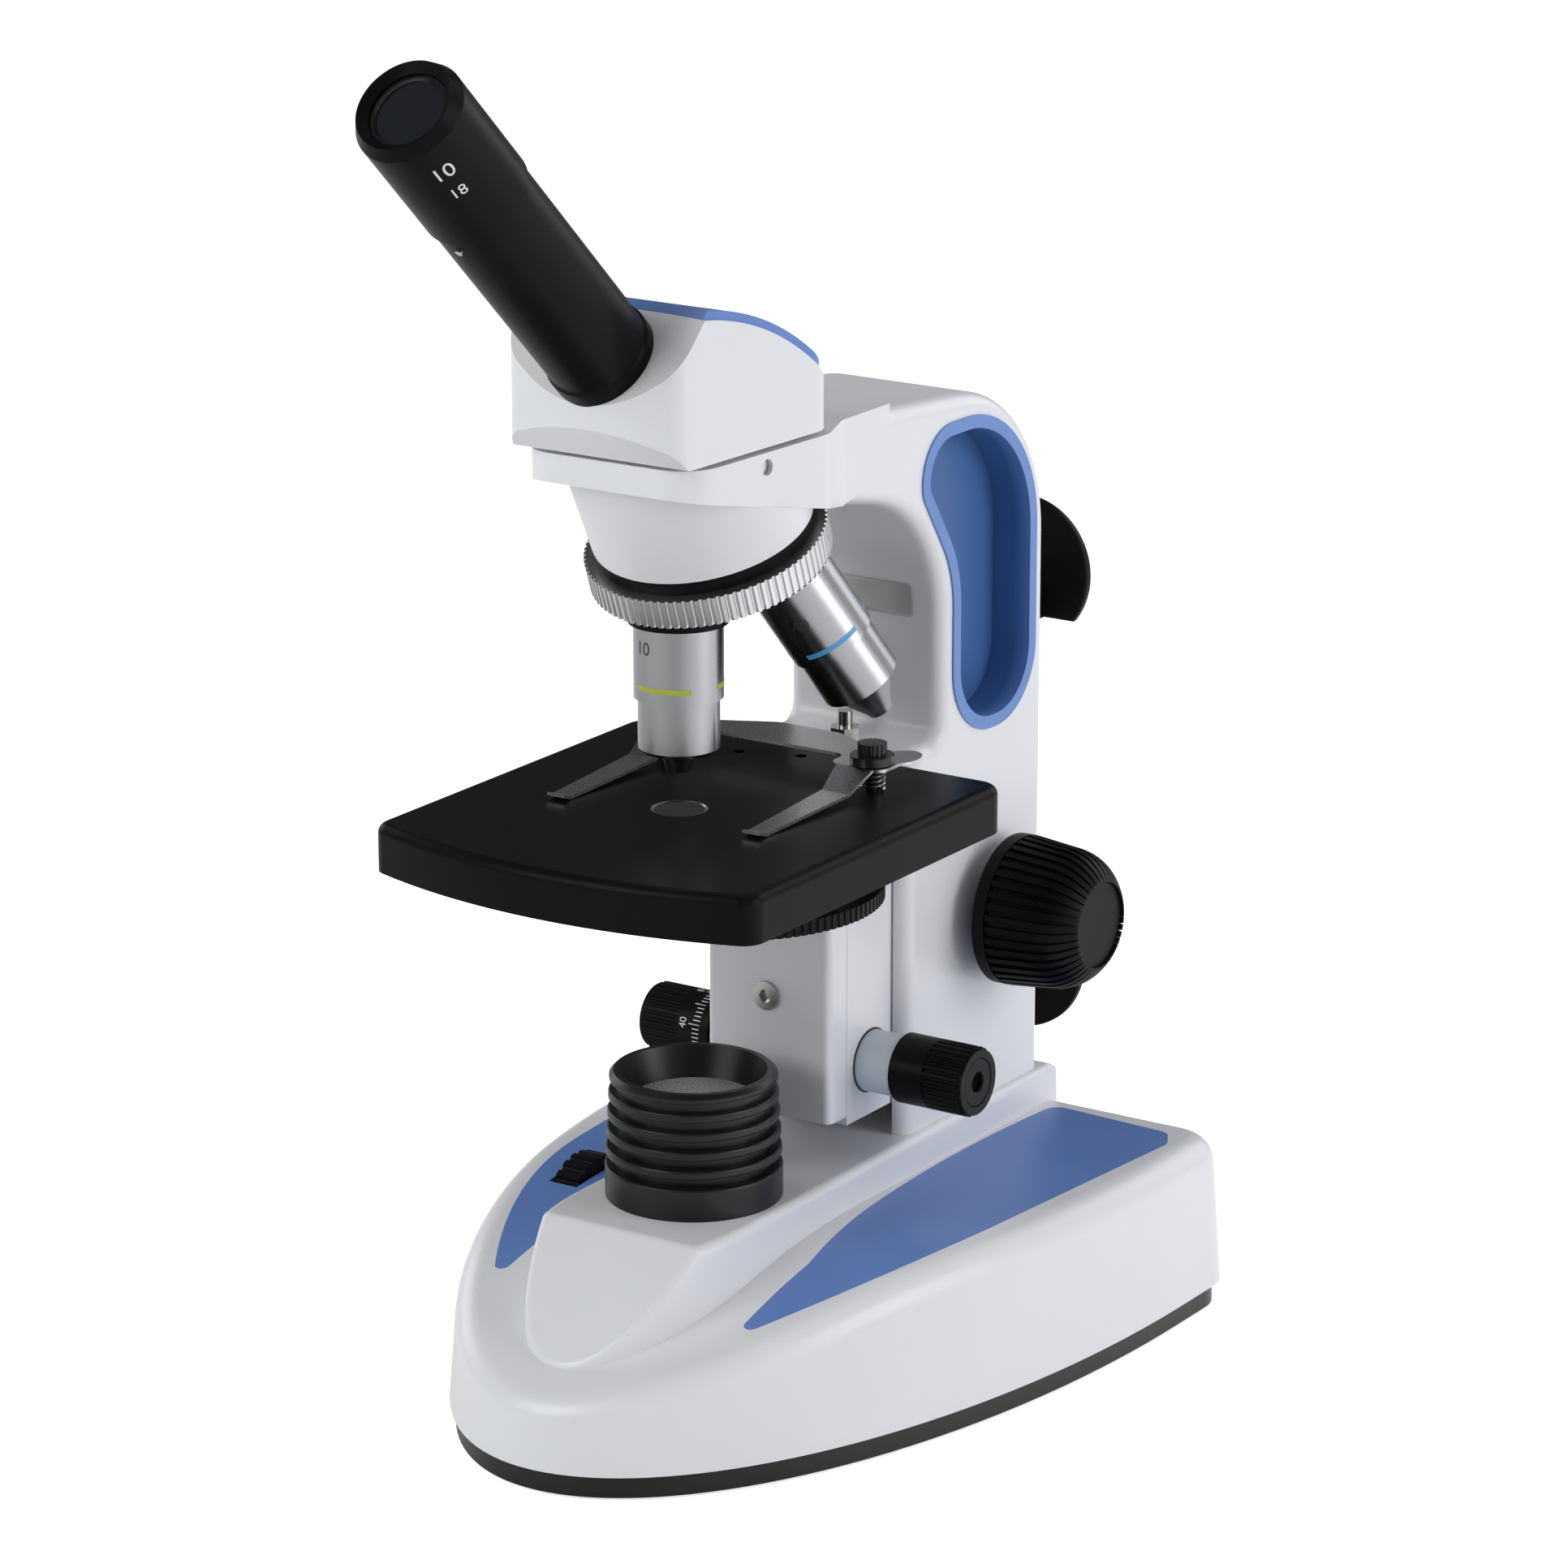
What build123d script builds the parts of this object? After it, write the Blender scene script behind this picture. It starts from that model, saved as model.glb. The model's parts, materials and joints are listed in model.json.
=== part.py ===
from build123d import *
import os
from math import acos, cos, pi, radians, sin, sqrt, tan

# A monocular student microscope. Sizes are in millimetres and angles in degrees.
# The optical axis is the Z axis while the pieces are made, Z = 0 is the table,
# X points to the right of someone facing the front, and Y points to the rear.

os.makedirs("parts", exist_ok=True)

# Fits
running_gap = 0.06
sliding_gap = 0.15
free_gap = 0.4

# How far a cutter runs past the face it cuts, and how close a picked edge lies to a place
cut_past = 1.0
near = 0.1

# Base
foot_show = 0.8
foot_sunk = 1.5
foot_edge = 0.5
foot_radius = 7.0
foot_side = 56.0
foot_front_side = 30.0
foot_rear_y = 112.0
foot_front_y = -22.0
plate_thick = 5.7
plate_inset = 1.5
base_half_width = 78.5
base_nose_reach = 175.3
base_mid_y = 109.0
base_tail_y = 138.0
base_tail_corner = 12.0
base_draft = 3.5
base_wall = 3.0
deck_height = 44.5
deck_bend_y = 40.0
deck_radius = 260.0
deck_rim = 7.0
ridge_rise = 9.2
ridge_half = 25.0
ridge_foot_half = 25.8
ridge_foot_height = 24.0
ridge_mid_y = -8.0
ridge_nose_reach = 45.0
ridge_nose_height = 28.0
ridge_front_y = -26.0
ridge_tail_inset = 2.0
ridge_edge = 2.2
panel_thick = 1.2
panel_outer_margin = 11.1
panel_bend_margin = 17.5
panel_bend_y = 45.0
panel_tip = (34.6, -30.5)
panel_inner_front = (33.6, 5.0)
panel_inner_mid = (26.2, 86.0)
panel_half_inner = 28.5
panel_rear_y = 129.3
panel_rear_slant = 2.0
panel_corner_y = 120.0
panel_corner = 4.0
panel_tip_radius = 2.0
plate_screw_radius = 1.5
plate_screw_head = 3.0
plate_screw_deep = 14.0
plate_boss_radius = 4.5
plate_screw_rear = (48.0, 92.0)
plate_screw_front = (38.0, -6.0)

# Lamp
lamp_y = 5.45
lamp_height = 31.6
lamp_foot_radius = 21.7
lamp_top_radius = 20.5
lamp_foot_ring = 8.1
lamp_fins = 5
lamp_fin_pitch = 4.7
lamp_fin_land = 2.3
lamp_fin_round = 0.6
lamp_groove = 1.7
lamp_lip = 1.0
lamp_bore = 13.0
lamp_lens_radius = 15.2
lamp_lens_thick = 2.4
lamp_lens_depth = 7.6
lamp_mouth_radius = 18.0
led_board_radius = 9.5
led_board_thick = 1.6
led_radius = 2.6

# Dimmer and electronics
dimmer_inset = 32.5
dimmer_y = 26.0
dimmer_radius = 14.0
dimmer_width = 7.0
dimmer_show = 3.2
dimmer_notches = 24
dimmer_notch = 0.9
dimmer_spigot = 3.0
dimmer_spigot_long = 5.0
pot_side = 13.0
pot_thick = 8.0
board_half_width = 38.0
board_depth = 40.0
board_thick = 1.6
post_radius = 3.0
inlet_x = 45.0
inlet_height = 22.0
inlet_flange = 7.0
inlet_flange_thick = 1.5
inlet_body = 5.5
inlet_depth = 11.0
inlet_bore = 2.75
inlet_pin = 1.05
inlet_floor = 2.0

# Stage
stage_top = 152.5
stage_half_width = 54.0
stage_rear_y = 61.0
stage_front_y = -49.4
stage_bow = 10.0
stage_skirt = 11.8
stage_plate = 5.0
stage_wall = 4.0
stage_corner = 5.5
stage_edge = 2.5
stage_hole_radius = 7.0
stage_lens_thick = 3.0
stage_lens_recess = 0.3
stage_light_radius = 6.0
stage_notch_side = 3.0
accessory_half = 15.0
accessory_y = 48.0
accessory_radius = 1.5
accessory_mid_y = 53.0

# Carriage
carriage_half_width = 18.1
bracket_front_y = 38.05
bracket_thick = 7.8
bracket_edge = 2.0
bracket_below = 88.2
shelf_half_width = 24.0
shelf_front_y = -22.0
shelf_thick = 5.0
shelf_corner = 14.0
shelf_root = 4.0
shelf_hole_gap = 1.0
tongue_half = 8.9
tongue_rear_y = 60.0
tongue_top_below = 27.0
tongue_play = 2.0
slide_below = 90.5
slide_top_below = 14.5
slide_rear_y = 92.0
pocket_rear_y = 66.0
bracket_screw_z = 94.9
bracket_screw_head = 3.6
bracket_screw_show = 1.2
bracket_screw_long = 16.0
stage_screw_half = 14.0
stage_screw_y = 30.0
stage_screw_radius = 1.5
stage_screw_head = 2.8
stage_screw_head_thick = 1.8
stage_screw_cover = 1.5

# Focus drive
coarse_y = 107.0
coarse_z = 104.0
coarse_shaft_radius = 4.0
coarse_shaft_grip = 8.0
coarse_bush_radius = 6.5
tooth_module = 0.8
pinion_teeth = 18
tooth_play = 0.14
tooth_root = 1.0
pressure_angle = 20.0
pinion_half_width = 5.5
rack_half_width = 5.0
rack_teeth_below = 9
rack_teeth_above = 5
coarse_stub_radius = 7.5
coarse_knob_inner = 28.2
coarse_knob_outer = 54.5
coarse_knob_radius = 19.2
coarse_knob_end_radius = 11.5
coarse_knob_collar = 3.3
coarse_knob_heel = 1.5
coarse_knob_shoulder = 4.1
coarse_knob_waist = 16.0
coarse_knob_waist_in = 1.2
coarse_rib_start = 2.7
coarse_rib_root = 0.5
coarse_ribs = 40
coarse_rib_width = 1.5
coarse_rib_high = 0.8
fine_y = 57.0
fine_below = 76.5
fine_shaft_radius = 3.0
fine_shaft_grip = 14.0
fine_sleeve_radius = 7.8
fine_sleeve_right = 28.2
fine_sleeve_left = 24.8
fine_knob_radius = 8.8
fine_knob_long = 20.7
fine_plain_ring = 9.4
fine_ribs = 30
fine_rib_notch = 0.55
fine_end_recess = 2.6
fine_knob_lip = 1.0
cam_radius = 5.5
cam_rise_per_turn = 1.2
cam_half_width = 4.0
follower_radius = 1.5
stop_clearance = 0.4
coarse_up = 0.8
stop_screw_y = 73.0
stop_screw_radius = 1.9
stop_screw_show = 6.5
stop_nut_radius = 4.0
stop_nut_thick = 2.4

# Diaphragm under the stage
disc_x = 14.2
disc_y = 0.2
disc_radius = 37.0
disc_thick = 3.5
disc_below = 19.0
disc_notches = 110
disc_notch = 0.45
disc_apertures = (1.5, 2.5, 4.0, 5.5, 7.0)
disc_pivot_radius = 2.0
disc_pivot_head = 4.0
disc_pivot_head_thick = 2.0

# Slide clip
clip_thick = 0.8
clip_high = 5.7
clip_bar_half = 35.5
clip_ear_inner = 20.5
clip_ear_front_y = 33.5
clip_bar_front_y = 41.5
clip_bar_end_y = 43.5
clip_bar_mid_half = 9.0
clip_bar_mid_y = 56.5
clip_bar_corner = 3.0
clip_knee_y = 25.0
clip_knee_high = 1.5
clip_tip_y = -11.4
clip_touch_y = -8.5
clip_curl = 1.2
clip_blade_x = 28.0
clip_blade_root_half = 5.2
clip_blade_knee_half = 3.8
clip_blade_tip_half = 2.5
clip_tab_x = 33.0
clip_tab_y = 47.0
clip_tab_half_x = 4.4
clip_tab_half_y = 6.0
clip_screw_x = 30.0
clip_screw_y = 38.3
clip_screw_radius = 1.5
clip_screw_hole = 2.2
clip_lift_gap = 0.3
clip_flange_radius = 5.4
clip_flange_thick = 2.0
clip_head_radius = 3.6
clip_head_tall = 3.0
clip_head_notches = 18
clip_head_notch = 0.4
spring_wire = 0.7
spring_radius = 2.9
spring_turns = 4

# Objectives and nosepiece
slide_glass = 1.0
parfocal = 45.0
turret_tilt = 20.0
seat_circle = 17.0
objective_radius = 10.75
thread_radius = 10.1
thread_long = 4.5
light_radius = 5.5
lens_bevel = 1.0
lens_10_reach = 36.5
lens_10_step = 18.2
lens_10_lower = 9.8
lens_10_lower_end = 31.5
lens_10_cone = 4.6
lens_10_tip = 3.1
lens_4_reach = 27.0
lens_4_step = 16.0
lens_4_lower = 9.3
lens_4_bevel = 3.0
lens_4_tip = 6.5
lens_40_reach = 44.4
lens_40_step = 21.0
lens_40_lower = 10.0
lens_40_lower_end = 34.5
lens_40_nose = 8.0
lens_40_nose_top = 27.0
lens_40_bore_top = 24.5
lens_40_cone = 3.8
lens_40_cone_tall = 1.5
lens_40_tip = 3.2
front_lens_thick = 1.0
front_lens_rim = 0.9
mount_bottom = 29.6
mount_radius = 26.8
mount_top_radius = 29.5
turret_top = 30.1
turret_radius = 26.4
grip_ring_top = 33.2
grip_ring_bottom = 40.4
grip_ring_radius = 29.4
grip_ring_inner = 25.6
grip_ring_notches = 90
grip_ring_notch = 0.55
turret_bottom = 42.0
boss_radius = 12.0
boss_long = 14.6
pivot_radius = 3.4
pivot_top = 26.0
pivot_head_radius = 5.5
pivot_head_thick = 2.5

# Arm
column_half_width = 22.66
column_front_y = 66.2
column_rear_y = 131.6
recess_front_y = 81.5
ledge_above_stage = 0.5
ledge_thick = 6.0
ledge_corner = 6.0
channel_half = 18.6
channel_rear_y = 120.0
arm_stack = 44.5
arm_slope_drop = 7.4
arm_rear_radius = 42.0
arch_radius = 36.0
arm_neck_y = 36.0
arm_under = 21.0
arm_under_slope = 12.0
arm_edge = 4.0
plate_front_y = -30.0
plate_front_half = 24.6
plate_wide_half = 28.0
plate_wide_y = 22.0
plate_corner = 10.0
rail_thick = 4.0
rail_front_y = 76.0
rail_rear_y = 84.0
rail_foot_gap = 4.0
grip_top_below = 10.5
grip_bottom_below = 91.5
grip_left_y = 72.3
grip_right_y = 125.5
grip_waist_y = 87.0
grip_waist_below = 48.0
grip_lobe_below = 26.0
grip_corner_radii = (13.0, 33.0, 18.0, 18.0, 30.0, 7.0)
grip_depth = 12.5
grip_floor = 2.0
grip_rim = 2.8
grip_proud = 0.5
hook_y = 157.4
hook_plate = 2.6
hook_edge = 0.8
hook_radius = 19.5
hook_flat = 12.1
hook_mid_z = 125.0
hook_spread = 52.5
hook_neck_half = 6.5
hook_neck_tall = 10.0
arm_bolt_x = 12.0
arm_bolt_y = 125.0
arm_bolt_radius = 2.5
arm_bolt_head = 4.5
arm_bolt_head_thick = 3.0
arm_bolt_grip = 16.0

# Head
head_lift = 1.2
spigot_radius = 20.0
spigot_long = 5.6
spigot_floor_gap = 0.1
path_radius = 11.0
head_front_y = -33.9
head_front_half = 24.6
head_front_bow = 4.5
head_rear_y = 26.0
head_rear_half = 28.0
head_rear_corner = 8.0
head_brow_y = -41.0
head_chin_y = -31.5
head_chin_tall = 11.0
head_crown_y = -35.6
head_crown_radius = 89.2
head_crown_drop = 52.6
cap_thick = 2.2
cap_margin = 0.8
cap_dish_radius = 22.0
cap_dish_deep = 1.3
cap_dish_y = -4.0
head_front_corner = 6.0
lock_screw_y = -1.9
lock_screw_radius = 2.0
lock_screw_below = 3.5
lock_screw_reach = 1.0
tube_incline = 43.0
tube_seat_y = -30.8
tube_seat_above = 24.0
saddle_radius = 75.0
saddle_deep = 1.5
saddle_flare = 4.0
tube_radius = 12.5
tube_foot_radius = 13.0
tube_foot_long = 2.6
tube_foot_taper = 0.8
tube_sunk = 5.0
tube_long = 65.0
eyepiece_barrel = 11.6
eyepiece_barrel_long = 28.0
eyepiece_barrel_room = 2.0
eyepiece_wall = 1.6
eyepiece_radius = 13.1
eyepiece_long = 34.8
eyepiece_bevel = 3.0
eyepiece_lens_radius = 9.4
eyepiece_lens_thick = 3.0
eyepiece_lens_deep = 3.2
eyepiece_lens_ledge = 1.0
eyepiece_screw_radius = 0.9
eyepiece_screw_along = 61.5
eyepiece_screw_show = 0.6
prism_half_width = 9.5
prism_half_depth = 11.0
prism_floor = 3.0
prism_back_tall = 11.0
prism_crest_tall = 17.0
prism_exit_y = -14.5
prism_exit_half = 9.0

pieces = {}


def keep(label, piece):
    """Name a finished piece and put it with the others."""
    piece.part.label = label
    pieces[label] = piece.part


def turned(at, *outline):
    """A half outline of (radius, height) points, turned about the Z axis of a plane."""
    flat = Plane(at.origin, x_dir=at.x_dir, z_dir=-at.y_dir)
    with BuildPart() as spun:
        with BuildSketch(flat):
            with BuildLine():
                Polyline(*outline, close=True)
            make_face()
        revolve(axis=Axis(at.origin, at.z_dir))
    return spun


def rod(at, radius, low, high):
    """A round bar along the Z axis of a plane, between two heights."""
    return turned(at, (0, low), (radius, low), (radius, high), (0, high))


def notched_disc(at, radius, low, high, count, notch):
    """A disc along the Z axis of a plane, with a ring of round notches in its rim."""
    with BuildPart() as disc:
        with BuildSketch(at.offset(low)):
            Circle(radius)
            with PolarLocations(radius, count):
                Circle(notch, mode=Mode.SUBTRACT)
        extrude(amount=high - low)
    return disc


def across(y, z, direction=1):
    """A plane whose Z axis runs along the X direction of the microscope."""
    return Plane((0, y, z), x_dir=(0, direction, 0), z_dir=(direction, 0, 0))


def upright(x, y, z=0.0):
    """A level plane at a place, with its Z axis up."""
    return Plane((x, y, z))


# Heights and places that follow from the sizes above
casting_bottom = foot_show + plate_thick
dimmer_x = dimmer_inset - base_half_width
ridge_top = deck_height + ridge_rise
stage_floor = stage_top - stage_plate
stage_bottom = stage_top - stage_skirt
seat_height = stage_top + slide_glass + parfocal
apex_height = seat_height + seat_circle / sin(radians(turret_tilt))
apex_to_seat = seat_circle / sin(radians(turret_tilt))
arm_top = seat_height + arm_stack
ledge = stage_top + ledge_above_stage
fine_z = stage_top - fine_below
slide_bottom = stage_top - slide_below
slide_top = stage_top - slide_top_below
bracket_bottom = stage_top - bracket_below
bracket_rear_y = bracket_front_y + bracket_thick
head_bottom = arm_top + head_lift
pinion_radius = tooth_module * pinion_teeth / 2
rack_pitch_y = coarse_y - pinion_radius


tilt = radians(turret_tilt)
turret_axis = Vector(0, sin(tilt), -cos(tilt))
apex = Vector(0, 0, apex_height)
turret_plane = Plane(apex, x_dir=(1, 0, 0), z_dir=turret_axis)


# Base casting, its panels and its plate

def base_outline(height, grow, tail):
    """Ellipse nose, straight sides and a square tail with round corners."""
    half = base_half_width + grow
    corner = base_tail_corner
    with BuildSketch(upright(0, 0, height)) as outline:
        with BuildLine():
            EllipticalCenterArc((0, base_mid_y), half, base_nose_reach + grow, 180, arc_size=180)
            Line((half, base_mid_y), (half, tail - corner))
            CenterArc((half - corner, tail - corner), corner, 0, 90)
            Line((half - corner, tail), (corner - half, tail))
            CenterArc((corner - half, tail - corner), corner, 90, 90)
            Line((-half, tail - corner), (-half, base_mid_y))
        make_face()
    return outline.sketch


def deck_at(y):
    """Height of the deck at a distance from the optical axis."""
    if y > deck_bend_y:
        return deck_height
    return deck_height - deck_radius + sqrt(deck_radius**2 - (deck_bend_y - y) ** 2)


def deck_side(drop, floor):
    """Side view of the deck lowered by a drop: level at the rear, curving down to the nose."""
    nose_y = base_mid_y - base_nose_reach - plate_thick
    top = deck_height - drop
    bend = deck_bend_y - nose_y
    radius = deck_radius - drop
    nose_z = top - radius + sqrt(radius**2 - bend**2)
    half_z = top - radius + sqrt(radius**2 - (bend / 2) ** 2)
    with BuildSketch(Plane.YZ) as side:
        with BuildLine():
            ThreePointArc((nose_y, nose_z), (nose_y + bend / 2, half_z), (deck_bend_y, top))
            Polyline(
                (deck_bend_y, top),
                (base_tail_y + plate_thick, top),
                (base_tail_y + plate_thick, floor),
                (nose_y, floor),
                (nose_y, nose_z),
            )
        make_face()
    return side.sketch


def ridge_level(height, half, shrink):
    """One level of the raised ridge: a round nose and straight sides to the tail."""
    tail = base_tail_y - ridge_tail_inset - shrink
    side = half - shrink
    with BuildSketch(upright(0, 0, height)) as level:
        with BuildLine():
            EllipticalCenterArc((0, ridge_mid_y), side, ridge_nose_reach - shrink, 180, arc_size=180)
            Polyline((side, ridge_mid_y), (side, tail), (-side, tail), (-side, ridge_mid_y))
        make_face()
    return level.sketch


def ridge_block(shrink):
    """The raised ridge with its sloping front, or its hollow when shrunk by a wall."""
    nose_y = ridge_mid_y - ridge_nose_reach
    run = ridge_front_y - nose_y
    drop = ridge_top - ridge_nose_height
    with BuildPart() as block:
        loft(
            [
                ridge_level(ridge_foot_height, ridge_foot_half, shrink),
                ridge_level(ridge_top - shrink, ridge_half, shrink),
            ]
        )
        with BuildSketch(Plane.YZ):
            with BuildLine():
                Polyline(
                    (ridge_front_y + run + 2 * shrink, ridge_top + drop),
                    (nose_y - run + 2 * shrink, ridge_nose_height - drop),
                    (nose_y - run + 2 * shrink, ridge_top + drop),
                    close=True,
                )
            make_face()
        extrude(amount=2 * ridge_half, both=True, mode=Mode.SUBTRACT)
    return block


ridge = ridge_block(0)
with ridge:
    upward = ridge.faces().filter_by(GeomType.PLANE).filter_by(lambda f: f.normal_at().Z > near)
    fillet(upward.edges(), ridge_edge)

with BuildPart() as hollow:
    loft(
        [
            base_outline(foot_show, -base_wall, base_tail_y - base_wall),
            base_outline(deck_height, -base_wall - base_draft, base_tail_y - base_wall),
        ]
    )
    extrude(deck_side(base_wall, 0), amount=2 * base_half_width, both=True, mode=Mode.INTERSECT)
    add(ridge_block(base_wall).part)

with BuildPart() as panel_cutter:
    with BuildSketch() as panel_plan:
        with BuildLine():
            outer_corner = (base_half_width - panel_outer_margin, panel_corner_y)
            outer_bend = (base_half_width - panel_bend_margin, panel_bend_y)
            outer_side = Line(outer_corner, outer_bend)
            TangentArc(outer_bend, panel_tip, tangent=outer_side % 1)
            Line(panel_tip, panel_inner_front)
            ThreePointArc(panel_inner_front, panel_inner_mid, (panel_half_inner, panel_rear_y))
            Polyline(
                (panel_half_inner, panel_rear_y),
                (outer_corner[0] - panel_corner, panel_rear_y - panel_rear_slant),
                outer_corner,
            )
        make_face()
        fillet(panel_plan.vertices().filter_by(lambda v: v.Y > panel_corner_y - near), panel_corner)
        fillet(panel_plan.vertices().sort_by(Axis.Y)[0], panel_tip_radius)
    extrude(amount=2 * deck_height)
    extrude(deck_side(panel_thick, -cut_past), amount=2 * base_half_width, both=True, mode=Mode.SUBTRACT)

with BuildPart() as panel_cutter_left:
    mirror(panel_cutter.part, about=Plane.YZ)

with BuildPart() as base_panel_right:
    add(panel_cutter.part)
    extrude(deck_side(0, 0), amount=2 * base_half_width, both=True, mode=Mode.INTERSECT)
keep("base_panel_right", base_panel_right)

dimmer_z = deck_height + dimmer_show - dimmer_radius
dimmer_plane = Plane((dimmer_x, dimmer_y, dimmer_z), x_dir=(0, 1, 0), z_dir=(1, 0, 0))
slot_half = dimmer_width / 2 + 2 * free_gap
dimmer_slot = rod(dimmer_plane, dimmer_radius + 2 * free_gap, -slot_half, slot_half)

with BuildPart() as base_panel_left:
    mirror(base_panel_right.part, about=Plane.YZ)
    add(dimmer_slot.part, mode=Mode.SUBTRACT)
keep("base_panel_left", base_panel_left)

plate_screw_spots = [
    (plate_screw_rear[0], plate_screw_rear[1]),
    (-plate_screw_rear[0], plate_screw_rear[1]),
    (plate_screw_front[0], plate_screw_front[1]),
    (-plate_screw_front[0], plate_screw_front[1]),
]
with BuildPart() as plate_screws:
    with Locations(*[(x, y, foot_show) for x, y in plate_screw_spots]):
        Cylinder(plate_screw_radius, plate_screw_deep, align=(Align.CENTER, Align.CENTER, Align.MIN))
        Cone(
            plate_screw_head,
            plate_screw_radius,
            plate_screw_head - plate_screw_radius,
            align=(Align.CENTER, Align.CENTER, Align.MIN),
        )
keep("plate_screws", plate_screws)

with BuildPart() as arm_bolts:
    with Locations(*[(x, arm_bolt_y, ridge_top - base_wall) for x in (-arm_bolt_x, arm_bolt_x)]):
        Cylinder(arm_bolt_radius, arm_bolt_grip, align=(Align.CENTER, Align.CENTER, Align.MIN))
        Cylinder(arm_bolt_head, arm_bolt_head_thick, align=(Align.CENTER, Align.CENTER, Align.MAX))
keep("arm_bolts", arm_bolts)

inlet_plane = Plane((inlet_x, base_tail_y, inlet_height), x_dir=(1, 0, 0), z_dir=(0, 1, 0))
dc_inlet = turned(
    inlet_plane,
    (0, -inlet_depth),
    (inlet_body, -inlet_depth),
    (inlet_body, 0),
    (inlet_flange, 0),
    (inlet_flange, inlet_flange_thick),
    (inlet_bore, inlet_flange_thick),
    (inlet_bore, inlet_floor - inlet_depth),
    (inlet_pin, inlet_floor - inlet_depth),
    (inlet_pin, 0),
    (0, 0),
)
keep("dc_inlet", dc_inlet)

with BuildPart() as base_casting:
    loft(
        [
            base_outline(casting_bottom, 0, base_tail_y),
            base_outline(deck_height + base_wall, -base_draft, base_tail_y),
        ]
    )
    extrude(deck_side(0, 0), amount=2 * base_half_width, both=True, mode=Mode.INTERSECT)
    rim_edges = base_casting.edges().filter_by(lambda e: abs(e.tangent_at(0.5).Z) < 0.7)
    rim_edges = rim_edges.filter_by(lambda e: e.center().Z > casting_bottom + plate_thick)
    fillet(rim_edges.filter_by(lambda e: abs(e.center().Y - deck_bend_y) > near), deck_rim)
    add(ridge.part)
    add(hollow.part, mode=Mode.SUBTRACT)
    for x, y in plate_screw_spots:
        boss_height = deck_at(y) - (panel_thick + base_wall) / 2
        add(rod(upright(x, y), plate_boss_radius, casting_bottom, boss_height).part)
    add(plate_screws.part, mode=Mode.SUBTRACT)
    add(arm_bolts.part, mode=Mode.SUBTRACT)
    add(panel_cutter.part, mode=Mode.SUBTRACT)
    add(panel_cutter_left.part, mode=Mode.SUBTRACT)
    add(dimmer_slot.part, mode=Mode.SUBTRACT)
    add(rod(inlet_plane, inlet_body, -inlet_depth, inlet_depth).part, mode=Mode.SUBTRACT)
keep("base_casting", base_casting)

foot_spots = [
    (foot_side, foot_rear_y),
    (-foot_side, foot_rear_y),
    (foot_front_side, foot_front_y),
    (-foot_front_side, foot_front_y),
]
with BuildPart() as rubber_feet:
    with Locations(*[(x, y, 0) for x, y in foot_spots]):
        Cylinder(foot_radius, foot_show + foot_sunk, align=(Align.CENTER, Align.CENTER, Align.MIN))
    fillet(rubber_feet.edges().group_by(Axis.Z)[0], foot_edge)
keep("rubber_feet", rubber_feet)

board_z = dimmer_z - pot_side / 2
board_mid_y = dimmer_y + pot_side / 2
post_half_x = board_half_width - post_radius
post_half_y = board_depth / 2 - post_radius
post_spots = [(x, board_mid_y + y) for x in (-post_half_x, post_half_x) for y in (-post_half_y, post_half_y)]
with BuildPart() as base_plate:
    extrude(base_outline(foot_show, -plate_inset, base_tail_y - plate_inset), amount=plate_thick)
    for x, y in post_spots:
        add(rod(upright(x, y), post_radius, foot_show, board_z - board_thick).part)
    add(plate_screws.part, mode=Mode.SUBTRACT)
    add(rubber_feet.part, mode=Mode.SUBTRACT)
keep("base_plate", base_plate)

with BuildPart() as circuit_board:
    with BuildSketch(upright(0, board_mid_y, board_z - board_thick)):
        RectangleRounded(2 * board_half_width, board_depth, post_radius)
    extrude(amount=board_thick)
keep("circuit_board", circuit_board)

pot_front_x = dimmer_x + dimmer_width / 2 + dimmer_spigot_long / 4
spigot_end_x = dimmer_x + dimmer_width / 2 + dimmer_spigot_long
with BuildPart() as dimmer_pot:
    with Locations((pot_front_x, dimmer_y, dimmer_z)):
        Box(pot_thick, pot_side, pot_side, align=(Align.MIN, Align.CENTER, Align.CENTER))
    spigot_bore = rod(
        across(dimmer_y, dimmer_z),
        dimmer_spigot + running_gap,
        pot_front_x - cut_past,
        spigot_end_x + sliding_gap,
    )
    add(spigot_bore.part, mode=Mode.SUBTRACT)
keep("dimmer_pot", dimmer_pot)

with BuildPart() as dimmer_wheel:
    add(
        notched_disc(
            dimmer_plane,
            dimmer_radius,
            -dimmer_width / 2,
            dimmer_width / 2,
            dimmer_notches,
            dimmer_notch,
        ).part
    )
    add(rod(across(dimmer_y, dimmer_z), dimmer_spigot, dimmer_x, spigot_end_x).part)
keep("dimmer_wheel", dimmer_wheel)


# Lamp

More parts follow.
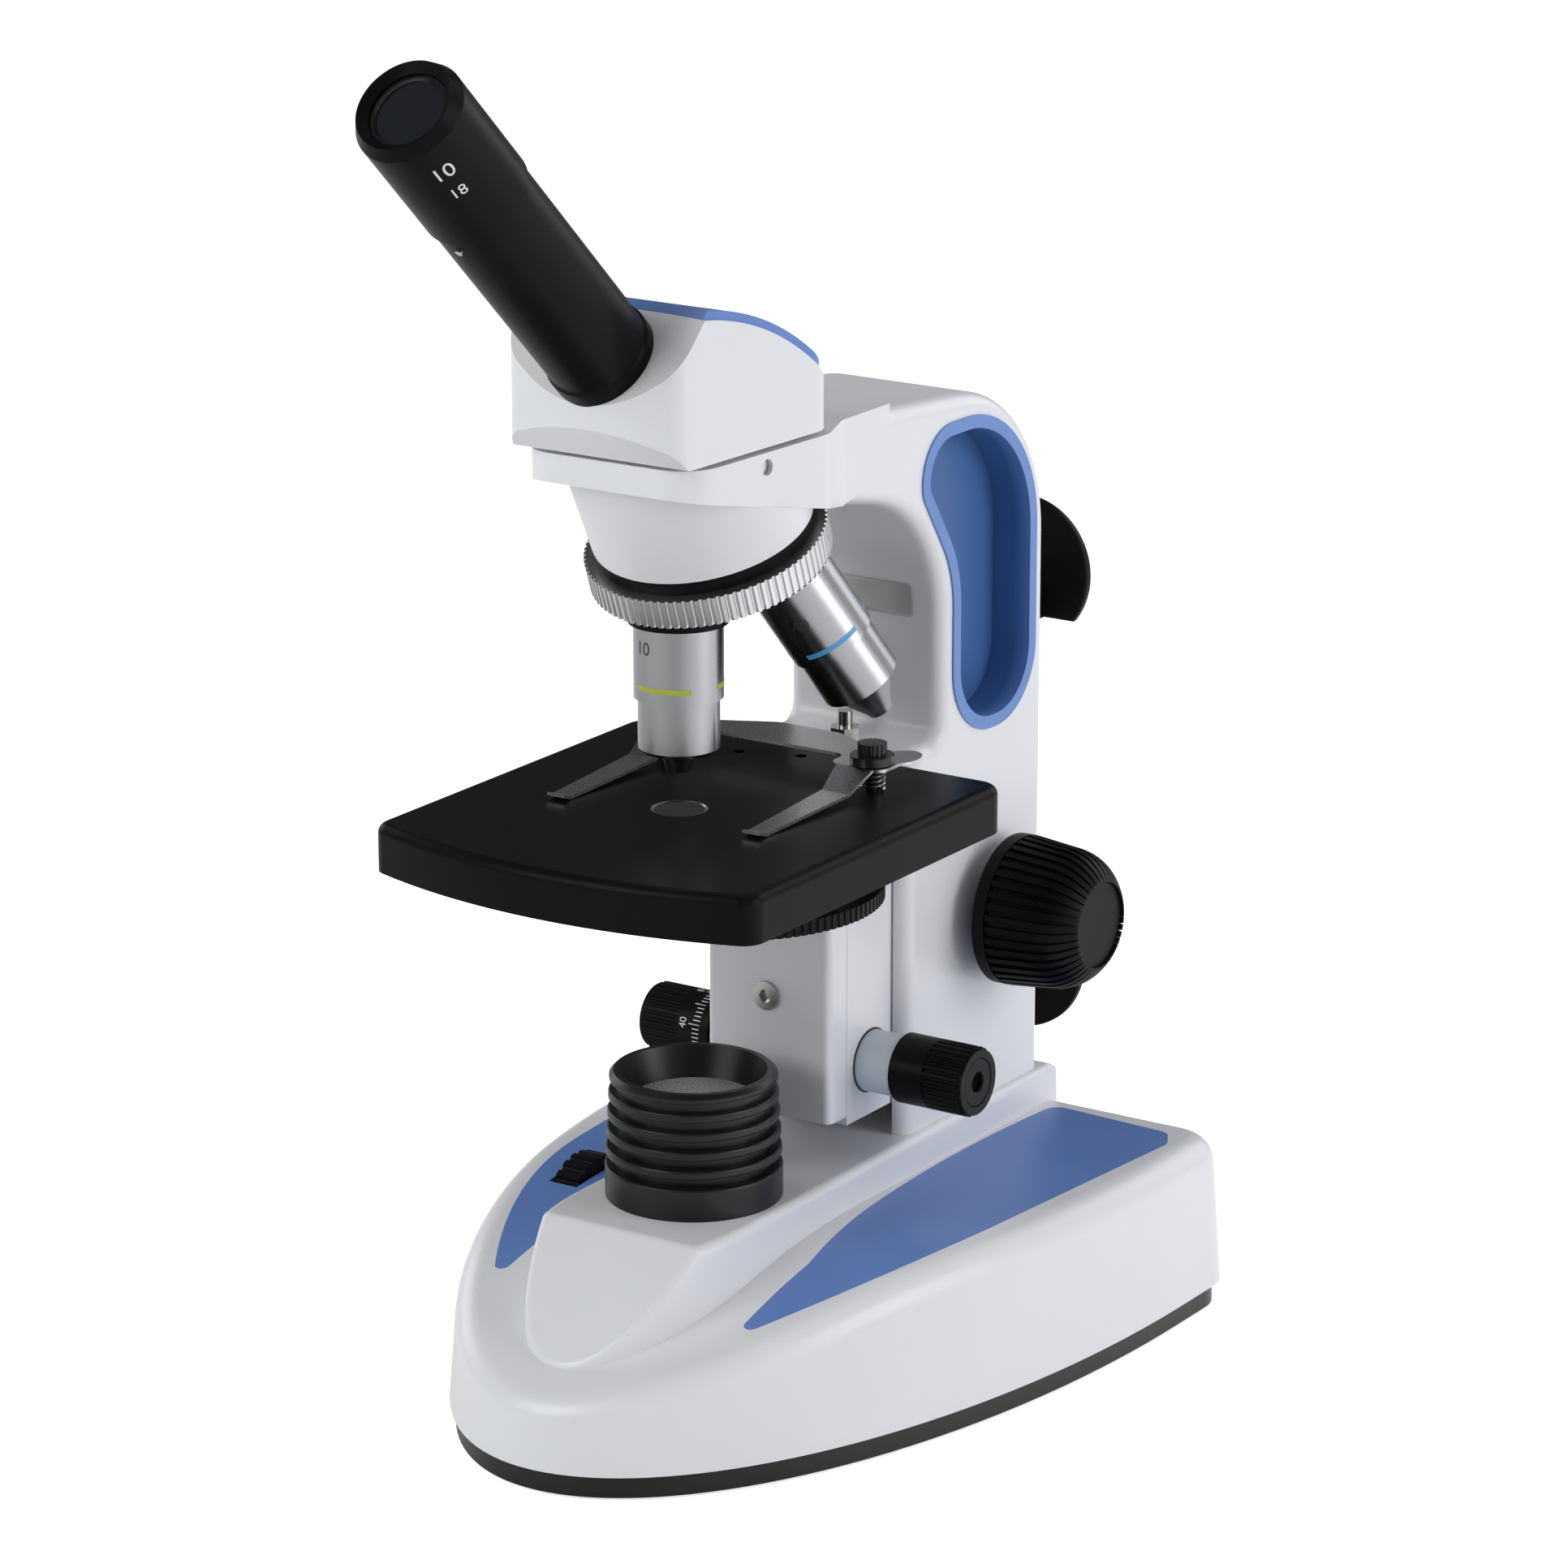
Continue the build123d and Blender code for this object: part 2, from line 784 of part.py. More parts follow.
lamp_plane = upright(0, lamp_y, ridge_top)
lens_top = lamp_height - lamp_lens_depth
with BuildPart() as lamp_housing:
    add(
        turned(
            lamp_plane,
            (lamp_bore, 0),
            (lamp_foot_radius, 0),
            (lamp_foot_radius, lamp_foot_ring),
            (lamp_top_radius, lamp_height - lamp_lip),
            (lamp_top_radius - lamp_lip, lamp_height),
            (lamp_mouth_radius, lamp_height),
            (lamp_lens_radius, lens_top),
            (lamp_lens_radius, lens_top - lamp_lens_thick),
            (lamp_bore, lens_top - lamp_lens_thick),
        ).part
    )
    for fin in range(lamp_fins):
        low = lamp_foot_ring + fin * lamp_fin_pitch
        high = low + lamp_fin_pitch - lamp_fin_land
        add(
            turned(
                lamp_plane,
                (lamp_top_radius - lamp_groove, low),
                (lamp_foot_radius + cut_past, low),
                (lamp_foot_radius + cut_past, high),
                (lamp_top_radius - lamp_groove, high),
            ).part,
            mode=Mode.SUBTRACT,
        )
    groove_edges = lamp_housing.edges().filter_by(GeomType.CIRCLE)
    groove_edges = groove_edges.filter_by(lambda e: e.radius > lamp_top_radius)
    fillet(groove_edges.filter_by(lambda e: e.center().Z > ridge_top + near), lamp_fin_round)
keep("lamp_housing", lamp_housing)

lamp_lens = rod(lamp_plane, lamp_lens_radius, lens_top - lamp_lens_thick, lens_top)
keep("lamp_lens", lamp_lens)

with BuildPart() as led_module:
    add(rod(lamp_plane, led_board_radius, 0, led_board_thick).part)
    with Locations((0, lamp_y, ridge_top + led_board_thick)):
        Sphere(led_radius, arc_size1=0)
keep("led_module", led_module)


# Arm, grips and cord hooks

def under_at(y):
    """Height of the arm's sloping underside."""
    return arm_top - arm_under + (arm_neck_y - y) * tan(radians(arm_under_slope))


def grip_outline(plane, inset):
    """The bean shape of a grip recess, in the side view."""
    with BuildSketch(plane) as bean:
        with BuildLine():
            FilletPolyline(
                (grip_left_y, arm_top - grip_top_below),
                (grip_right_y, arm_top - grip_top_below),
                (grip_right_y, arm_top - grip_bottom_below),
                (grip_waist_y, arm_top - grip_bottom_below),
                (grip_waist_y, arm_top - grip_waist_below),
                (grip_left_y, arm_top - grip_lobe_below),
                radius=list(grip_corner_radii),
                close=True,
            )
        make_face()
        offset(amount=-inset)
    return bean.sketch


grip_face = Plane.YZ.offset(column_half_width)
with BuildPart() as grip_block:
    extrude(grip_outline(grip_face.offset(-grip_depth), 0), amount=grip_depth)

with BuildPart() as grip_block_left:
    mirror(grip_block.part, about=Plane.YZ)

with BuildPart() as grip_insert_right:
    add(grip_block.part)
    extrude(grip_outline(grip_face, -grip_proud), amount=grip_proud)
    extrude(
        grip_outline(grip_face.offset(grip_floor - grip_depth), grip_rim),
        amount=2 * grip_depth,
        mode=Mode.SUBTRACT,
    )
keep("grip_insert_right", grip_insert_right)

with BuildPart() as grip_insert_left:
    mirror(grip_insert_right.part, about=Plane.YZ)
keep("grip_insert_left", grip_insert_left)

with BuildPart() as arm_plate:
    with BuildSketch(upright(0, 0, arm_top - 2 * arm_under)):
        with BuildLine():
            FilletPolyline(
                (plate_front_half, plate_front_y),
                (plate_wide_half, plate_wide_y),
                (column_half_width, arm_neck_y),
                (column_half_width, arm_neck_y + arm_under),
                (-column_half_width, arm_neck_y + arm_under),
                (-column_half_width, arm_neck_y),
                (-plate_wide_half, plate_wide_y),
                (-plate_front_half, plate_front_y),
                radius=3 * [plate_corner] + 2 * [0] + 3 * [plate_corner],
                close=True,
            )
        make_face()
    extrude(amount=2 * arm_under)
    with BuildSketch(Plane.YZ):
        with BuildLine():
            Polyline(
                (plate_front_y - cut_past, under_at(plate_front_y - cut_past)),
                (plate_front_y - cut_past, arm_top),
                (arm_neck_y + arm_under, arm_top),
                (arm_neck_y + arm_under, under_at(arm_neck_y) + arm_edge),
                (arm_neck_y, under_at(arm_neck_y)),
                close=True,
            )
        make_face()
    extrude(amount=2 * plate_wide_half, both=True, mode=Mode.INTERSECT)

stop_screw = turned(
    upright(0, stop_screw_y),
    (0, slide_top + coarse_up + stop_clearance),
    (stop_screw_radius, slide_top + coarse_up + stop_clearance),
    (stop_screw_radius, ledge + stop_screw_show),
    (0, ledge + stop_screw_show),
)
keep("stop_screw", stop_screw)

with BuildPart() as stop_nut:
    with BuildSketch(upright(0, stop_screw_y, ledge)):
        RegularPolygon(stop_nut_radius, 6)
        Circle(stop_screw_radius, mode=Mode.SUBTRACT)
    extrude(amount=stop_nut_thick)
keep("stop_nut", stop_nut)

lock_screw_z = arm_top - lock_screw_below
lock_screw_plane = across(lock_screw_y, lock_screw_z)
lock_screw_end = plate_front_half + lock_screw_reach
head_lock_screw = rod(lock_screw_plane, lock_screw_radius, spigot_radius + free_gap, lock_screw_end)
keep("head_lock_screw", head_lock_screw)

with BuildPart() as arm:
    with BuildSketch(Plane.YZ):
        with BuildLine():
            FilletPolyline(
                (arm_neck_y, arm_top),
                (column_rear_y, arm_top - arm_slope_drop),
                (column_rear_y, ridge_top),
                (column_front_y, ridge_top),
                (column_front_y, ledge),
                (recess_front_y, ledge),
                (recess_front_y, under_at(recess_front_y)),
                (arm_neck_y, under_at(arm_neck_y)),
                radius=[0, arm_rear_radius, 0, 0, ledge_corner, arm_edge, arch_radius, 0],
                close=True,
            )
        make_face()
    extrude(amount=column_half_width, both=True)
    side_edges = arm.faces().filter_by(Axis.X).edges()
    side_edges = side_edges.filter_by(lambda e: e.center().Z > ridge_top + near)
    side_edges = side_edges.filter_by(lambda e: e.center().Y > arm_neck_y + near)
    fillet(side_edges, arm_edge)
    add(arm_plate.part)
    with Locations((0, column_front_y, ridge_top)):
        Box(
            2 * channel_half,
            2 * (channel_rear_y - column_front_y),
            2 * (ledge - ledge_thick - ridge_top),
            mode=Mode.SUBTRACT,
        )
    spigot_floor = head_bottom - spigot_long - spigot_floor_gap
    socket = rod(upright(0, 0), spigot_radius + running_gap, spigot_floor, arm_top + cut_past)
    add(socket.part, mode=Mode.SUBTRACT)
    add(rod(upright(0, 0), path_radius, arm_top - 2 * arm_under, arm_top).part, mode=Mode.SUBTRACT)
    bush_bore = rod(across(coarse_y, coarse_z), coarse_bush_radius, -2 * channel_half, 2 * channel_half)
    add(bush_bore.part, mode=Mode.SUBTRACT)
    add(grip_block.part, mode=Mode.SUBTRACT)
    add(grip_block_left.part, mode=Mode.SUBTRACT)
    add(stop_screw.part, mode=Mode.SUBTRACT)
    add(arm_bolts.part, mode=Mode.SUBTRACT)
    turret_room = rod(turret_plane, grip_ring_radius + 2 * free_gap, mount_bottom, 2 * turret_bottom)
    add(turret_room.part, mode=Mode.SUBTRACT)
    add(rod(lock_screw_plane, lock_screw_radius, 0, 2 * plate_wide_half).part, mode=Mode.SUBTRACT)
keep("arm", arm)

with BuildPart() as cord_hook_upper:
    with BuildSketch(Plane((0, hook_y, hook_mid_z + hook_spread), x_dir=(1, 0, 0), z_dir=(0, -1, 0))):
        Circle(hook_radius)
        with Locations((0, -hook_flat)):
            Rectangle(3 * hook_radius, hook_radius, align=(Align.CENTER, Align.MAX), mode=Mode.SUBTRACT)
    extrude(amount=-hook_plate)
    fillet(cord_hook_upper.edges().filter_by(lambda e: e.length > hook_radius), hook_edge)
    with Locations((0, column_rear_y, hook_mid_z + hook_spread - hook_flat)):
        Box(
            2 * hook_neck_half,
            hook_y - column_rear_y + hook_plate / 2,
            hook_neck_tall,
            align=(Align.CENTER, Align.MIN, Align.MIN),
        )
keep("cord_hook_upper", cord_hook_upper)

with BuildPart() as cord_hook_lower:
    mirror(cord_hook_upper.part, about=Plane.XY.offset(hook_mid_z))
keep("cord_hook_lower", cord_hook_lower)

with BuildPart() as guide_rails:
    rail_tall = ledge - ledge_thick - ridge_top - 2 * rail_foot_gap
    for side in (-1, 1):
        with Locations((side * (channel_half - rail_thick / 2), rail_front_y, ridge_top + rail_foot_gap)):
            Box(
                rail_thick,
                rail_rear_y - rail_front_y,
                rail_tall,
                align=(Align.CENTER, Align.MIN, Align.MIN),
            )
keep("guide_rails", guide_rails)

with BuildPart() as coarse_bushes:
    for direction in (-1, 1):
        add(
            turned(
                across(coarse_y, coarse_z, direction),
                (coarse_shaft_radius + running_gap, channel_half),
                (coarse_bush_radius, channel_half),
                (coarse_bush_radius, column_half_width),
                (coarse_shaft_radius + running_gap, column_half_width),
            ).part
        )
keep("coarse_bushes", coarse_bushes)


# Coarse drive

def gear_outline(plane):
    """Involute gear with a tooth space centred on the plane's negative local X direction."""
    base_radius = pinion_radius * cos(radians(pressure_angle))
    tip_radius = pinion_radius + tooth_module
    root_radius = pinion_radius - tooth_root
    pitch_half = pi / (2 * pinion_teeth) - tooth_play / (2 * pinion_radius)

    def roll(radius):
        slant = acos(min(1.0, base_radius / radius))
        return tan(slant) - slant

    flank = [base_radius + (tip_radius - base_radius) * step / 4 for step in range(5)]
    halves = [(r, pitch_half + roll(pinion_radius) - roll(r)) for r in flank]
    rise = [(root_radius, halves[0][1])] + halves
    points = []
    for tooth in range(pinion_teeth):
        middle = pi + (tooth + 0.5) * 2 * pi / pinion_teeth
        points += [(r * cos(middle - h), r * sin(middle - h)) for r, h in rise]
        points += [(r * cos(middle + h), r * sin(middle + h)) for r, h in reversed(rise)]
    with BuildSketch(plane) as outline:
        with BuildLine():
            Polyline(*points, close=True)
        make_face()
    return outline.sketch


with BuildPart() as coarse_shaft:
    shaft_end = coarse_knob_inner + coarse_shaft_grip
    add(rod(across(coarse_y, coarse_z), coarse_shaft_radius, -shaft_end, shaft_end).part)
    extrude(gear_outline(across(coarse_y, coarse_z).offset(-pinion_half_width)), amount=2 * pinion_half_width)
keep("coarse_shaft", coarse_shaft)

knob_plane = across(coarse_y, coarse_z)


def knob_dome(lower):
    """The domed outline of a coarse knob, lowered towards its axis."""
    flat = Plane(knob_plane.origin, x_dir=knob_plane.x_dir, z_dir=-knob_plane.y_dir)
    with BuildPart() as dome:
        with BuildSketch(flat):
            with BuildLine():
                start = (coarse_knob_radius - coarse_knob_heel - lower, coarse_knob_inner)
                shoulder = (coarse_knob_radius - lower, coarse_knob_inner + coarse_knob_shoulder)
                waist_radius = coarse_knob_radius - coarse_knob_waist_in - lower
                waist = (waist_radius, coarse_knob_inner + coarse_knob_waist)
                rim = (coarse_knob_end_radius, coarse_knob_outer - lower)
                Polyline((0, coarse_knob_outer - lower), (0, coarse_knob_inner), start, shoulder, waist)
                Spline(waist, rim, tangents=[(-0.12, 1), (-1.5, 1)])
                Line(rim, (0, coarse_knob_outer - lower))
            make_face()
        revolve(axis=Axis(knob_plane.origin, knob_plane.z_dir))
    return dome


with BuildPart() as knob_ribs:
    with BuildSketch(knob_plane.offset(coarse_knob_inner + coarse_rib_start)):
        with PolarLocations(0, coarse_ribs):
            with Locations((coarse_knob_end_radius - coarse_rib_root, 0)):
                Rectangle(2 * coarse_knob_radius, coarse_rib_width, align=(Align.MIN, Align.CENTER))
    extrude(amount=coarse_knob_outer - coarse_knob_inner)
    add(knob_dome(0).part, mode=Mode.INTERSECT)

with BuildPart() as coarse_knob_right:
    add(knob_dome(coarse_rib_high).part)
    add(knob_ribs.part)
    add(rod(knob_plane, coarse_knob_radius, coarse_knob_inner, coarse_knob_inner + coarse_knob_collar).part)
    add(rod(knob_plane, coarse_stub_radius, column_half_width + free_gap, coarse_knob_inner).part)
    add(rod(knob_plane, coarse_shaft_radius, 0, shaft_end).part, mode=Mode.SUBTRACT)
keep("coarse_knob_right", coarse_knob_right)

with BuildPart() as coarse_knob_left:
    mirror(coarse_knob_right.part, about=Plane.YZ)
keep("coarse_knob_left", coarse_knob_left)

with BuildPart() as rack:
    pitch = pi * tooth_module
    lean = tan(radians(pressure_angle))
    tip_y = rack_pitch_y + tooth_module
    root_y = rack_pitch_y - tooth_root
    tip_half = (pitch - tooth_play) / 4 - lean * tooth_module
    root_half = (pitch - tooth_play) / 4 + lean * tooth_root
    rack_low = coarse_z - (rack_teeth_below + 0.5) * pitch
    rack_high = coarse_z + (rack_teeth_above + 0.5) * pitch
    outline = [(slide_rear_y, rack_high), (slide_rear_y, rack_low), (root_y, rack_low)]
    for tooth in range(-rack_teeth_below, rack_teeth_above + 1):
        middle = coarse_z + tooth * pitch
        outline += [(root_y, middle - root_half), (tip_y, middle - tip_half)]
        outline += [(tip_y, middle + tip_half), (root_y, middle + root_half)]
    outline.append((root_y, rack_high))
    with BuildSketch(Plane.YZ):
        with BuildLine():
            Polyline(*outline, close=True)
        make_face()
    extrude(amount=rack_half_width, both=True)
keep("rack", rack)

fine_plane = across(fine_y, fine_z)
sleeve_bore = fine_shaft_radius + running_gap
with BuildPart() as fine_sleeves:
    for direction, sleeve_end in ((-1, fine_sleeve_left), (1, fine_sleeve_right)):
        add(
            turned(
                across(fine_y, fine_z, direction),
                (sleeve_bore, carriage_half_width),
                (fine_sleeve_radius, carriage_half_width),
                (fine_sleeve_radius, sleeve_end),
                (sleeve_bore, sleeve_end),
            ).part
        )
keep("fine_sleeves", fine_sleeves)

cam_reach = cam_radius + cam_rise_per_turn + free_gap
with BuildPart() as coarse_slide:
    with Locations((0, bracket_rear_y + sliding_gap, slide_bottom)):
        Box(
            2 * carriage_half_width,
            slide_rear_y - bracket_rear_y - sliding_gap,
            slide_top - slide_bottom,
            align=(Align.CENTER, Align.MIN, Align.MIN),
        )
    with Locations((0, bracket_rear_y, fine_z - cam_reach)):
        Box(
            2 * (tongue_half + sliding_gap),
            pocket_rear_y - bracket_rear_y,
            stage_top - tongue_top_below + tongue_play - fine_z + cam_reach,
            align=(Align.CENTER, Align.MIN, Align.MIN),
            mode=Mode.SUBTRACT,
        )
    for side in (-1, 1):
        with Locations((side * channel_half, (rail_front_y + rail_rear_y) / 2, stage_top / 2)):
            Box(
                2 * (rail_thick + sliding_gap),
                rail_rear_y - rail_front_y + sliding_gap,
                2 * stage_top,
                mode=Mode.SUBTRACT,
            )
    shaft_bore = rod(fine_plane, sleeve_bore, -2 * carriage_half_width, 2 * carriage_half_width)
    add(shaft_bore.part, mode=Mode.SUBTRACT)
keep("coarse_slide", coarse_slide)


# Fine drive

def cam_point(turn):
    """A point on the cam, whose radius grows evenly over one turn from its step."""
    radius = cam_radius - cam_rise_per_turn * turn
    angle = pi / 2 + 2 * pi * turn
    return (radius * cos(angle), radius * sin(angle))


with BuildPart() as fine_shaft:
    fine_shaft_end = fine_sleeve_right + fine_shaft_grip
    add(rod(fine_plane, fine_shaft_radius, -fine_sleeve_left - fine_shaft_grip, fine_shaft_end).part)
    with BuildSketch(fine_plane.offset(-cam_half_width)):
        with BuildLine():
            Spline(*[cam_point(step / 16 - 0.5) for step in range(17)])
            Line(cam_point(-0.5), cam_point(0.5))
        make_face()
    extrude(amount=2 * cam_half_width)
keep("fine_shaft", fine_shaft)

knob_start = fine_sleeve_right + free_gap
knob_end = knob_start + fine_knob_long
with BuildPart() as fine_knob_right:
    add(rod(fine_plane, fine_knob_radius - fine_rib_notch, knob_start, knob_end).part)
    add(rod(fine_plane, fine_knob_radius, knob_start, knob_start + fine_plain_ring).part)
    add(
        notched_disc(
            fine_plane,
            fine_knob_radius,
            knob_start + fine_plain_ring,
            knob_end - fine_knob_lip,
            fine_ribs,
            fine_rib_notch,
        ).part
    )
    recess_radius = fine_knob_radius - fine_end_recess
    recess = rod(fine_plane, recess_radius, knob_end - fine_end_recess, knob_end + cut_past)
    add(recess.part, mode=Mode.SUBTRACT)
    add(rod(fine_plane, fine_shaft_radius, 0, fine_shaft_end).part, mode=Mode.SUBTRACT)
keep("fine_knob_right", fine_knob_right)

with BuildPart() as fine_knob_left:
    mirror(fine_knob_right.part, about=Plane.YZ.offset((fine_sleeve_right - fine_sleeve_left) / 2))
keep("fine_knob_left", fine_knob_left)


# Stage, bracket and diaphragm

follower_z = fine_z + cam_radius + follower_radius + sliding_gap
shelf_bottom = stage_floor - shelf_thick
disc_top = stage_top - disc_below + disc_thick
disc_plane = upright(disc_x, disc_y)

pivot_head_top = disc_top - disc_thick - free_gap
diaphragm_pivot = turned(
    disc_plane,
    (0, pivot_head_top - disc_pivot_head_thick),
    (disc_pivot_head, pivot_head_top - disc_pivot_head_thick),
    (disc_pivot_head, pivot_head_top),
    (disc_pivot_radius, pivot_head_top),
    (disc_pivot_radius, stage_floor),
    (0, stage_floor),
)
keep("diaphragm_pivot", diaphragm_pivot)

with BuildPart() as bracket_screw:
    with BuildSketch(Plane((0, bracket_front_y, bracket_screw_z), x_dir=(1, 0, 0), z_dir=(0, -1, 0))):
        Circle(bracket_screw_head)
        RegularPolygon(bracket_screw_head / 2, 6, mode=Mode.SUBTRACT)
    extrude(amount=bracket_screw_show)
    shank_plane = Plane((0, bracket_front_y, bracket_screw_z), x_dir=(1, 0, 0), z_dir=(0, 1, 0))
    add(rod(shank_plane, bracket_screw_head / 2, 0, bracket_screw_long).part)
keep("bracket_screw", bracket_screw)

with BuildPart() as stage_screws:
    with Locations(*[(x, stage_screw_y, shelf_bottom) for x in (-stage_screw_half, stage_screw_half)]):
        Cylinder(
            stage_screw_radius,
            shelf_thick + stage_plate - stage_screw_cover,
            align=(Align.CENTER, Align.CENTER, Align.MIN),
        )
        Cylinder(
            stage_screw_head,
            stage_screw_head_thick,
            align=(Align.CENTER, Align.CENTER, Align.MAX),
        )
keep("stage_screws", stage_screws)

with BuildPart() as stage_bracket:
    with Locations((0, bracket_front_y, bracket_bottom)):
        Box(
            2 * carriage_half_width,
            bracket_thick,
            stage_floor - bracket_bottom,
            align=(Align.CENTER, Align.MIN, Align.MIN),
        )
    fillet(stage_bracket.edges().filter_by(Axis.Z).group_by(Axis.Y)[0], bracket_edge)
    with Locations((0, bracket_rear_y, follower_z)):
        Box(
            2 * tongue_half,
            tongue_rear_y - bracket_rear_y,
            stage_top - tongue_top_below - follower_z,
            align=(Align.CENTER, Align.MIN, Align.MIN),
        )
    add(rod(across(fine_y, follower_z), follower_radius, -cam_half_width, cam_half_width).part)
    with BuildSketch(upright(0, 0, shelf_bottom)):
        with BuildLine():
            FilletPolyline(
                (shelf_half_width, bracket_rear_y),
                (shelf_half_width, shelf_front_y),
                (-shelf_half_width, shelf_front_y),
                (-shelf_half_width, bracket_rear_y),
                radius=[shelf_root, shelf_corner, shelf_corner, shelf_root],
                close=True,
            )
        make_face()
        Circle(stage_hole_radius + shelf_hole_gap, mode=Mode.SUBTRACT)
    extrude(amount=shelf_thick)
    add(diaphragm_pivot.part, mode=Mode.SUBTRACT)
    add(bracket_screw.part, mode=Mode.SUBTRACT)
    add(stage_screws.part, mode=Mode.SUBTRACT)
keep("stage_bracket", stage_bracket)


def stage_outline(height, inset):
    """Square stage with a bowed front edge and round corners."""
    half = stage_half_width - inset
    front = stage_front_y + inset
    rear = stage_rear_y - inset
    with BuildSketch(upright(0, 0, height)) as plan:
        with BuildLine():
            ThreePointArc((-half, front), (0, front - stage_bow), (half, front))
            Polyline((half, front), (half, rear), (-half, rear), (-half, front))
        make_face()
        fillet(plan.vertices(), stage_corner - inset)
    return plan.sketch


clip_top = stage_top + clip_high + clip_thick
clip_spots = [(-clip_screw_x, clip_screw_y), (clip_screw_x, clip_screw_y)]
clip_flange_bottom = clip_top + clip_lift_gap
clip_screw_pieces = []
for x, y in clip_spots:
    clip_screw_pieces.append(rod(upright(x, y), clip_screw_radius, stage_floor, clip_flange_bottom))
    clip_screw_pieces.append(
        rod(upright(x, y), clip_flange_radius, clip_flange_bottom, clip_flange_bottom + clip_flange_thick)
    )
    clip_screw_pieces.append(
        notched_disc(
            upright(x, y),
            clip_head_radius,
            clip_flange_bottom + clip_flange_thick,
            clip_flange_bottom + clip_flange_thick + clip_head_tall,
            clip_head_notches,
            clip_head_notch,
        )
    )
with BuildPart() as clip_screws:
    for screw_piece in clip_screw_pieces:
        add(screw_piece.part)
keep("clip_screws", clip_screws)

stage_lens = rod(
    upright(0, 0),
    stage_hole_radius,
    stage_top - stage_lens_recess - stage_lens_thick,
    stage_top - stage_lens_recess,
)
keep("stage_lens", stage_lens)

with BuildPart() as stage:
    extrude(stage_outline(stage_bottom, 0), amount=stage_skirt)
    fillet(stage.faces().sort_by(Axis.Z)[-1].edges(), stage_edge)
    extrude(stage_outline(stage_bottom, stage_wall), amount=stage_skirt - stage_plate, mode=Mode.SUBTRACT)
    with Locations((0, stage_rear_y, stage_bottom)):
        Box(
            2 * (carriage_half_width + stage_notch_side),
            4 * stage_wall,
            2 * (stage_skirt - stage_plate),
            mode=Mode.SUBTRACT,
        )
    add(rod(upright(0, 0), stage_light_radius, stage_bottom, stage_top).part, mode=Mode.SUBTRACT)
    lens_seat = rod(
        upright(0, 0),
        stage_hole_radius,
        stage_top - stage_lens_recess - stage_lens_thick,
        stage_top + cut_past,
    )
    add(lens_seat.part, mode=Mode.SUBTRACT)
    accessory_spots = [(-accessory_half, accessory_y), (accessory_half, accessory_y), (0, accessory_mid_y)]
    with Locations(*[(x, y, stage_top) for x, y in accessory_spots]):
        Cylinder(accessory_radius, 4 * stage_plate, mode=Mode.SUBTRACT)
    add(stage_screws.part, mode=Mode.SUBTRACT)
    add(clip_screws.part, mode=Mode.SUBTRACT)
keep("stage", stage)

with BuildPart() as disc_diaphragm:
    disc_low = disc_top - disc_thick
    add(notched_disc(disc_plane, disc_radius, disc_low, disc_top, disc_notches, disc_notch).part)
    pivot_bore = rod(disc_plane, disc_pivot_radius + running_gap, disc_low - cut_past, disc_top + cut_past)
    add(pivot_bore.part, mode=Mode.SUBTRACT)
    first = Vector(-disc_x, -disc_y)
    for step, aperture in enumerate(disc_apertures):
        spot = first.rotate(Axis.Z, 360 * (step + 1) / len(disc_apertures))
        hole_plane = upright(disc_x + spot.X, disc_y + spot.Y)
        hole = rod(hole_plane, aperture, disc_low - cut_past, disc_top + cut_past)
        add(hole.part, mode=Mode.SUBTRACT)
keep("disc_diaphragm", disc_diaphragm)


# Slide clip and its springs

with BuildPart() as slide_clip:
    top_line = [
        (clip_bar_mid_y + cut_past, clip_top),
        (clip_ear_front_y, clip_top),
        (clip_knee_y, stage_top + clip_knee_high + clip_thick),
        (clip_touch_y, stage_top + sliding_gap + clip_thick),
        (clip_tip_y - cut_past, stage_top + sliding_gap + clip_thick + clip_curl),
    ]
    with BuildSketch(Plane.YZ):
        with BuildLine():
            Polyline(*top_line, *[(y, z - clip_thick) for y, z in reversed(top_line)], close=True)
        make_face()
    extrude(amount=2 * clip_bar_half, both=True)
    with BuildSketch(upright(0, 0, stage_top - cut_past), mode=Mode.PRIVATE) as clip_plan:
        with BuildLine():
            Polyline(
                (clip_ear_inner, clip_ear_front_y),
                (clip_bar_half, clip_ear_front_y),
                (clip_bar_half, clip_bar_end_y),
                (clip_bar_mid_half, clip_bar_mid_y),
                (-clip_bar_mid_half, clip_bar_mid_y),
                (-clip_bar_half, clip_bar_end_y),
                (-clip_bar_half, clip_ear_front_y),
                (-clip_ear_inner, clip_ear_front_y),
                (-clip_ear_inner, clip_bar_front_y),
                (clip_ear_inner, clip_bar_front_y),
                close=True,
            )
        make_face()
        fillet(clip_plan.vertices(), clip_bar_corner)
        for side in (-1, 1):
            with BuildLine():
                Polyline(
                    (side * (clip_blade_x - clip_blade_root_half), clip_screw_y),
                    (side * (clip_blade_x - clip_blade_root_half), clip_ear_front_y),
                    (side * (clip_blade_x - clip_blade_knee_half), clip_knee_y),
                    (side * (clip_blade_x - clip_blade_tip_half), clip_tip_y),
                    (side * (clip_blade_x + clip_blade_tip_half), clip_tip_y),
                    (side * (clip_blade_x + clip_blade_knee_half), clip_knee_y),
                    (side * (clip_blade_x + clip_blade_root_half), clip_ear_front_y),
                    (side * (clip_blade_x + clip_blade_root_half), clip_screw_y),
                    close=True,
                )
            make_face()
        with Locations((clip_tab_x, clip_tab_y), (-clip_tab_x, clip_tab_y)):
            Ellipse(clip_tab_half_x, clip_tab_half_y)
        with Locations(*clip_spots):
            Circle(clip_screw_hole, mode=Mode.SUBTRACT)
    extrude(clip_plan.sketch, amount=2 * clip_high, mode=Mode.INTERSECT)
keep("slide_clip", slide_clip)

